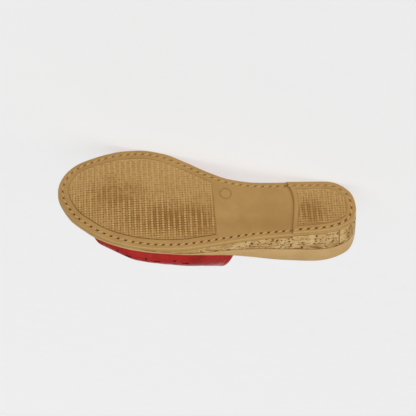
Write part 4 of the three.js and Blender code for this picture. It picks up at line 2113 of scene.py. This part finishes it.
@dataclass
class Vamp:
    """Red leather vamp: one arched skin with turned edges, a lining, edge stitches and punched ovals."""

    form: SoleForm
    bench: Bench
    wall: float = 2.2
    inset: float = 0.6
    arch: float = 2.25
    crown_shift: float = 5.0
    medial_bulge: float = 0.61
    seat_gap: float = 0.3
    tuck: float = 1.6
    front: Cut = Cut(219, 204, 221)
    rear: Cut = Cut(101, 117, 99)
    rows: int = 46
    columns: int = 96
    edge_steps: tuple[float, ...] = (0.0, 0.06, 0.22, 0.5, 0.8, 1.1, 1.7, 2.4, 3.1, 3.8, 4.6, 5.6)
    stitch_inset: float = 3.1
    stitch_sunk: float = 0.2
    stitch_span: Span = (0.004, 0.996)
    stitches: StitchRow = StitchRow(3.0, 2.3, 0.6, 0.5)
    path_points: int = 240
    seam_depth: float = 0.22
    seam_reach: float = 0.8
    creases: tuple[Crease, ...] = (Crease(158, 5, 0.5), Crease(169, -4, 0.42), Crease(148, 8, 0.3))
    crease_reach: float = 2.6
    crease_wander: float = 1.8
    crease_turns: float = 9.0
    crease_power: float = 1.5
    wave_depth: float = 0.22
    wave_lengths: Span = (6.5, 17.0)
    wave_turns: Span = (5.0, 21.0)
    wave_fade: Span = (2.0, 14.0)
    lining_follow: float = 0.6
    oval: Place = (6.4, 2.0, 9.0)
    dot: Place = (2.0, 2.0, 9.0)
    oval_places: tuple[float, ...] = (189.2, 165.2, 141.2)
    oval_share: float = 0.078
    dot_share: float = 0.057
    dot_ahead: float = 9.0

    def __post_init__(self) -> None:
        """Fits the arch's side view."""
        at = [row.x for row in VAMP_ARCH]
        self.crown = SmoothTable(at, [row.crown for row in VAMP_ARCH])
        self.bulge = SmoothTable(at, [row.bulge for row in VAMP_ARCH])

    def build(self) -> None:
        """Builds and dresses the vamp and its edge stitches."""
        skin = self._body()
        for leather in (RED_LEATHER, LINING_LEATHER):
            skin.materials.append(self.bench.painted(leather))
        self.bench.deliver("vamp", self._punched(skin), Slot.RED, node="upper")
        thread = self.bench.painted(RED_THREAD)
        for name, rearward in (("front", False), ("rear", True)):
            sewn = self.stitches.sewn(self._edge_path(rearward), thread)
            self.bench.deliver(f"vamp_{name}_stitches", sewn, Slot.RED)

    def _punched(self, skin: Mesh) -> Mesh:
        """Punches a row of ovals and dots through each side of the vamp.

        Args:
            skin: The vamp's mesh, with its materials.

        Returns:
            The punched mesh.
        """
        rows = [(x, self.oval_share, self.oval) for x in self.oval_places]
        rows += [(x + self.dot_ahead, self.dot_share, self.dot) for x in self.oval_places]
        reach, share, ovals = (np.array(column) for column in zip(*rows))
        reach = np.tile(reach, 2)
        share = np.concatenate([share, 1 - share])
        along = (reach - self.rear.at(share)) / self._length(share)
        step = 0.01
        marks = {
            OUTWARD: -self._inwards(along, share),
            LENGTHWISE: self._skin(along + step, share) - self._skin(along - step, share),
            OVAL: np.tile(ovals, (2, 1)),
        }
        places = path("oval_places", self._skin(along, share), marks, joined=False)
        holder = bpy.data.objects.new("oval_places", places)
        sizes = {"Places": holder, "Edge": self.bench.painted(HOLE_SHADE)}
        made = PunchRecipe().make(skin, sizes)
        bpy.data.objects.remove(holder)
        closed(made)
        return made

    def _length(self, share: Array) -> Array:
        """Distance from the rear edge to the front edge."""
        return self.front.at(share) - self.rear.at(share)

    def _skin(self, along: Array, share: Array) -> Array:
        """Points of the vamp's outer face.

        Args:
            along: 0 at the rear edge, 1 at the front edge.
            share: 0 at the lateral feather line, 1 at the medial one.

        Returns:
            The points on the last axis.
        """
        form = self.form
        angle = math.pi * share
        rise = np.sin(angle)
        turn = np.cos(angle)
        x = mixed(self.rear.at(share), self.front.at(share), along)
        station = form.station(x)
        rim = form.rim(x)
        lateral, medial = (form.wall(station, side, rim, self.inset)[..., 1] for side in Side)
        power = 2 / self.arch
        swell = self.bulge(x) * np.sin(2 * angle) * turn**2 * np.where(share < 0.5, 1, self.medial_bulge)
        half = (medial - lateral) / 2 * np.sign(turn) * np.abs(turn) ** power
        y = (medial + lateral) / 2 - half + self.crown_shift * rise**2 - swell
        z = rim + self.seat_gap + self.crown(x) * np.maximum(rise, 0) ** power
        return np.stack([x, y, z], -1)

    def _inwards(self, along: Array, share: Array) -> Array:
        """Directions from the outer face to the lining.

        Args:
            along: 0 at the rear edge, 1 at the front edge.
            share: 0 at the lateral feather line, 1 at the medial one.

        Returns:
            The unit directions on the last axis.
        """
        step = 1e-3
        lengthwise = self._skin(along + step, share) - self._skin(along - step, share)
        before = np.maximum(share - step, 0)
        after = np.minimum(share + step, 1)
        crosswise = self._skin(along, after) - self._skin(along, before)
        square = np.cross(crosswise, lengthwise)
        return square / np.linalg.norm(square, axis=-1, keepdims=True)

    def _grid(self) -> tuple[Array, Array, Array]:
        """Lays out the vamp's rows and columns.

        Returns:
            The share along it, the share over it and the distance from the nearer cut edge.
        """
        share = np.linspace(0, 1, self.columns)[None, :]
        length = self._length(share)
        steps = np.array(self.edge_steps)[:, None] / length
        middle = np.linspace(0, 1, self.rows)[1:-1, None]
        body = mixed(steps[-1:], 1 - steps[-1:], middle)
        along = np.concatenate([steps, body, 1 - steps[::-1]])
        share = np.broadcast_to(share, along.shape)
        edge = np.minimum(along, 1 - along) * length
        return along, share, edge

    def _body(self) -> Mesh:
        """Builds the vamp.

        Returns:
            The closed mesh.
        """
        along, share, edge = self._grid()
        face = self._skin(along, share)
        inwards = self._inwards(along, share)
        lining = face + inwards * self.wall
        feather = (share == 0) | (share == 1)
        lining[..., 2] = np.where(feather, face[..., 2], lining[..., 2])
        pull = rounding(edge, self.wall / 2)
        dent = self._dents(face, share, edge)
        over = face + inwards * (pull + dent)[..., None]
        under = lining - inwards * (pull - self.lining_follow * dent)[..., None]
        return slab("vamp", self._tucked(under), self._tucked(over), (True, True))

    def _tucked(self, grid: Array) -> Array:
        """Carries both feather edges of a face down into the footbed, by one column more at each end."""
        down = self.tuck * DOWN
        return np.concatenate([grid[:, :1] + down, grid, grid[:, -1:] + down], 1)

    def _dents(self, face: Array, share: Array, edge: Array) -> Array:
        """How far the worn leather sinks: a line beside each turned edge and creases where the foot bends.

        Args:
            face: The outer face.
            share: The share over the vamp.
            edge: The distance from the nearer cut edge.

        Returns:
            The depth at each point, never negative.
        """
        x = face[..., 0]
        seam = self.seam_depth * np.exp(-(((edge - self.stitch_inset) / self.seam_reach) ** 2))
        over = np.sin(math.pi * share)
        bend = np.zeros_like(edge)
        for crease in self.creases:
            wander = self.crease_wander * np.sin(self.crease_turns * share + crease.at)
            line = crease.at + crease.lean * np.cos(math.pi * share) + wander
            fading = np.exp(-(((x - line) / self.crease_reach) ** 2))
            bend += crease.depth * fading * over**self.crease_power
        waves = [np.sin(x / run + turns * share) for run, turns in zip(self.wave_lengths, self.wave_turns)]
        wave = 0.5 + 0.5 * waves[0] * waves[1]
        return seam + bend + self.wave_depth * wave * ease(edge, *self.wave_fade)

    def _edge_path(self, rearward: bool) -> Mesh:
        """Lays the stitch path beside a cut edge.

        Args:
            rearward: Whether it is the rear edge.

        Returns:
            The path.
        """
        share = np.linspace(*self.stitch_span, self.path_points)
        offset = self.stitch_inset / self._length(share)
        along = offset if rearward else 1 - offset
        inwards = self._inwards(along, share)
        points = self._skin(along, share) + inwards * self.stitch_sunk
        return path("vamp_stitch_path", points, {OUTWARD: -inwards})


@dataclass(frozen=True)
class Lamp:
    """A far light: the direction it comes from, how wide it looks and its strength on a face turned to it."""

    name: str
    source: Place
    spread_deg: float
    strength: float

    def hang(self) -> None:
        """Hangs the light, which is as strong all over the floor."""
        lamp = bpy.data.lights.new(self.name, "SUN")
        lamp.angle = math.radians(self.spread_deg)
        lamp.energy = self.strength
        hung = bpy.data.objects.new(self.name, lamp)
        hung.location = self.source
        hung.rotation_euler = (-Vector(self.source)).to_track_quat("-Z", "Y").to_euler()
        bpy.context.scene.collection.objects.link(hung)


@dataclass
class Studio:
    """Pale floor, soft lights and the camera at the photograph's angle."""

    bench: Bench
    tilt_deg: float = 23.84
    roll_deg: float = 2.165
    distance: float = 900.0
    aim: Place = (124.2, -4.57, 1.0)
    lens: float = 92.99
    sensor: float = 36.0
    clip: Span = (0.05, 60.0)
    floor_radius: float = 14.0
    floor_facets: int = 64
    floor_drop: float = 0.1
    floor_glow: float = 0.624
    surround: float = 0.15
    white: Color = (1.0, 1.0, 1.0, 1.0)
    lamps: tuple[Lamp, ...] = (
        Lamp("key_light", (-0.45, -3.45, 1.0), 6.0, 1.08),
        Lamp("side_light", (-2.4, -1.6, 0.5), 20.0, 0.42),
        Lamp("sky_light", (0.0, -1.35, 2.6), 90.0, 1.45),
        Lamp("fill_light", (0.3, 3.0, 0.1), 40.0, 0.5),
    )

    def build(self) -> None:
        """Sets the stage."""
        self._floor()
        self._lights()
        self._camera()

    def _floor(self) -> None:
        """Lays a plain pale floor."""
        turns = np.linspace(0, 2 * math.pi, self.floor_facets + 1)[:-1]
        points = [(self.floor_radius * math.cos(a), self.floor_radius * math.sin(a), 0.0) for a in turns]
        mesh = bpy.data.meshes.new("floor")
        mesh.from_pydata(points, [], [tuple(range(len(points)))])
        paper = self.bench.painted(FLOOR_PAPER)
        shader = paper.node_tree.nodes["Principled BSDF"]
        shader.inputs["Emission Color"].default_value = self.white
        shader.inputs["Emission Strength"].default_value = self.floor_glow
        mesh.materials.append(paper)
        floor = bpy.data.objects.new("floor", mesh)
        floor.location.z = -self.floor_drop * MM
        bpy.context.scene.collection.objects.link(floor)

    def _lights(self) -> None:
        """Hangs the soft lights and the pale surround."""
        for lamp in self.lamps:
            lamp.hang()
        world = bpy.data.worlds.new("pale_surround")
        world.use_nodes = True
        background = world.node_tree.nodes["Background"]
        background.inputs["Color"].default_value = self.white
        background.inputs["Strength"].default_value = self.surround
        bpy.context.scene.world = world
        bpy.context.scene.view_settings.view_transform = "Standard"

    def _camera(self) -> None:
        """Sets the camera under the standing tread, tilted to the lateral side and slightly rolled."""
        tilt = math.radians(self.tilt_deg)
        back = Vector((0.0, -math.sin(tilt), -math.cos(tilt)))
        right = Vector((-1.0, 0.0, 0.0))
        up = back.cross(right)
        roll = math.radians(self.roll_deg)
        across = right * math.cos(roll) + up * math.sin(roll)
        upwards = up * math.cos(roll) - right * math.sin(roll)
        turn = self.bench.standing.turn @ Matrix((across, upwards, back)).transposed()
        lens = bpy.data.cameras.new("photo_camera")
        lens.sensor_width = self.sensor
        lens.lens = self.lens
        lens.clip_start, lens.clip_end = self.clip
        camera = bpy.data.objects.new("photo_camera", lens)
        stand = self.bench.standing.place(tuple(Vector(self.aim) + back * self.distance))
        camera.matrix_world = Matrix.Translation(stand) @ turn.to_4x4()
        bpy.context.scene.collection.objects.link(camera)
        bpy.context.scene.camera = camera


def main() -> None:
    """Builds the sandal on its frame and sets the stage."""
    logging.basicConfig(level=logging.INFO, format="%(message)s")
    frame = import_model()
    bench = Bench(StandingFrame.from_record(frame["record"]))
    form = SoleForm(SOLE_EDGE, SOLE_LAYERS)
    for assembly in (
        Outsole(form, bench),
        CorkWedge(form, bench),
        Footbed(form, bench),
        SockInsole(form, bench),
        Vamp(form, bench),
        Studio(bench),
    ):
        assembly.build()
        log.info("%s done", type(assembly).__name__)


if __name__ == "__main__":
    main()
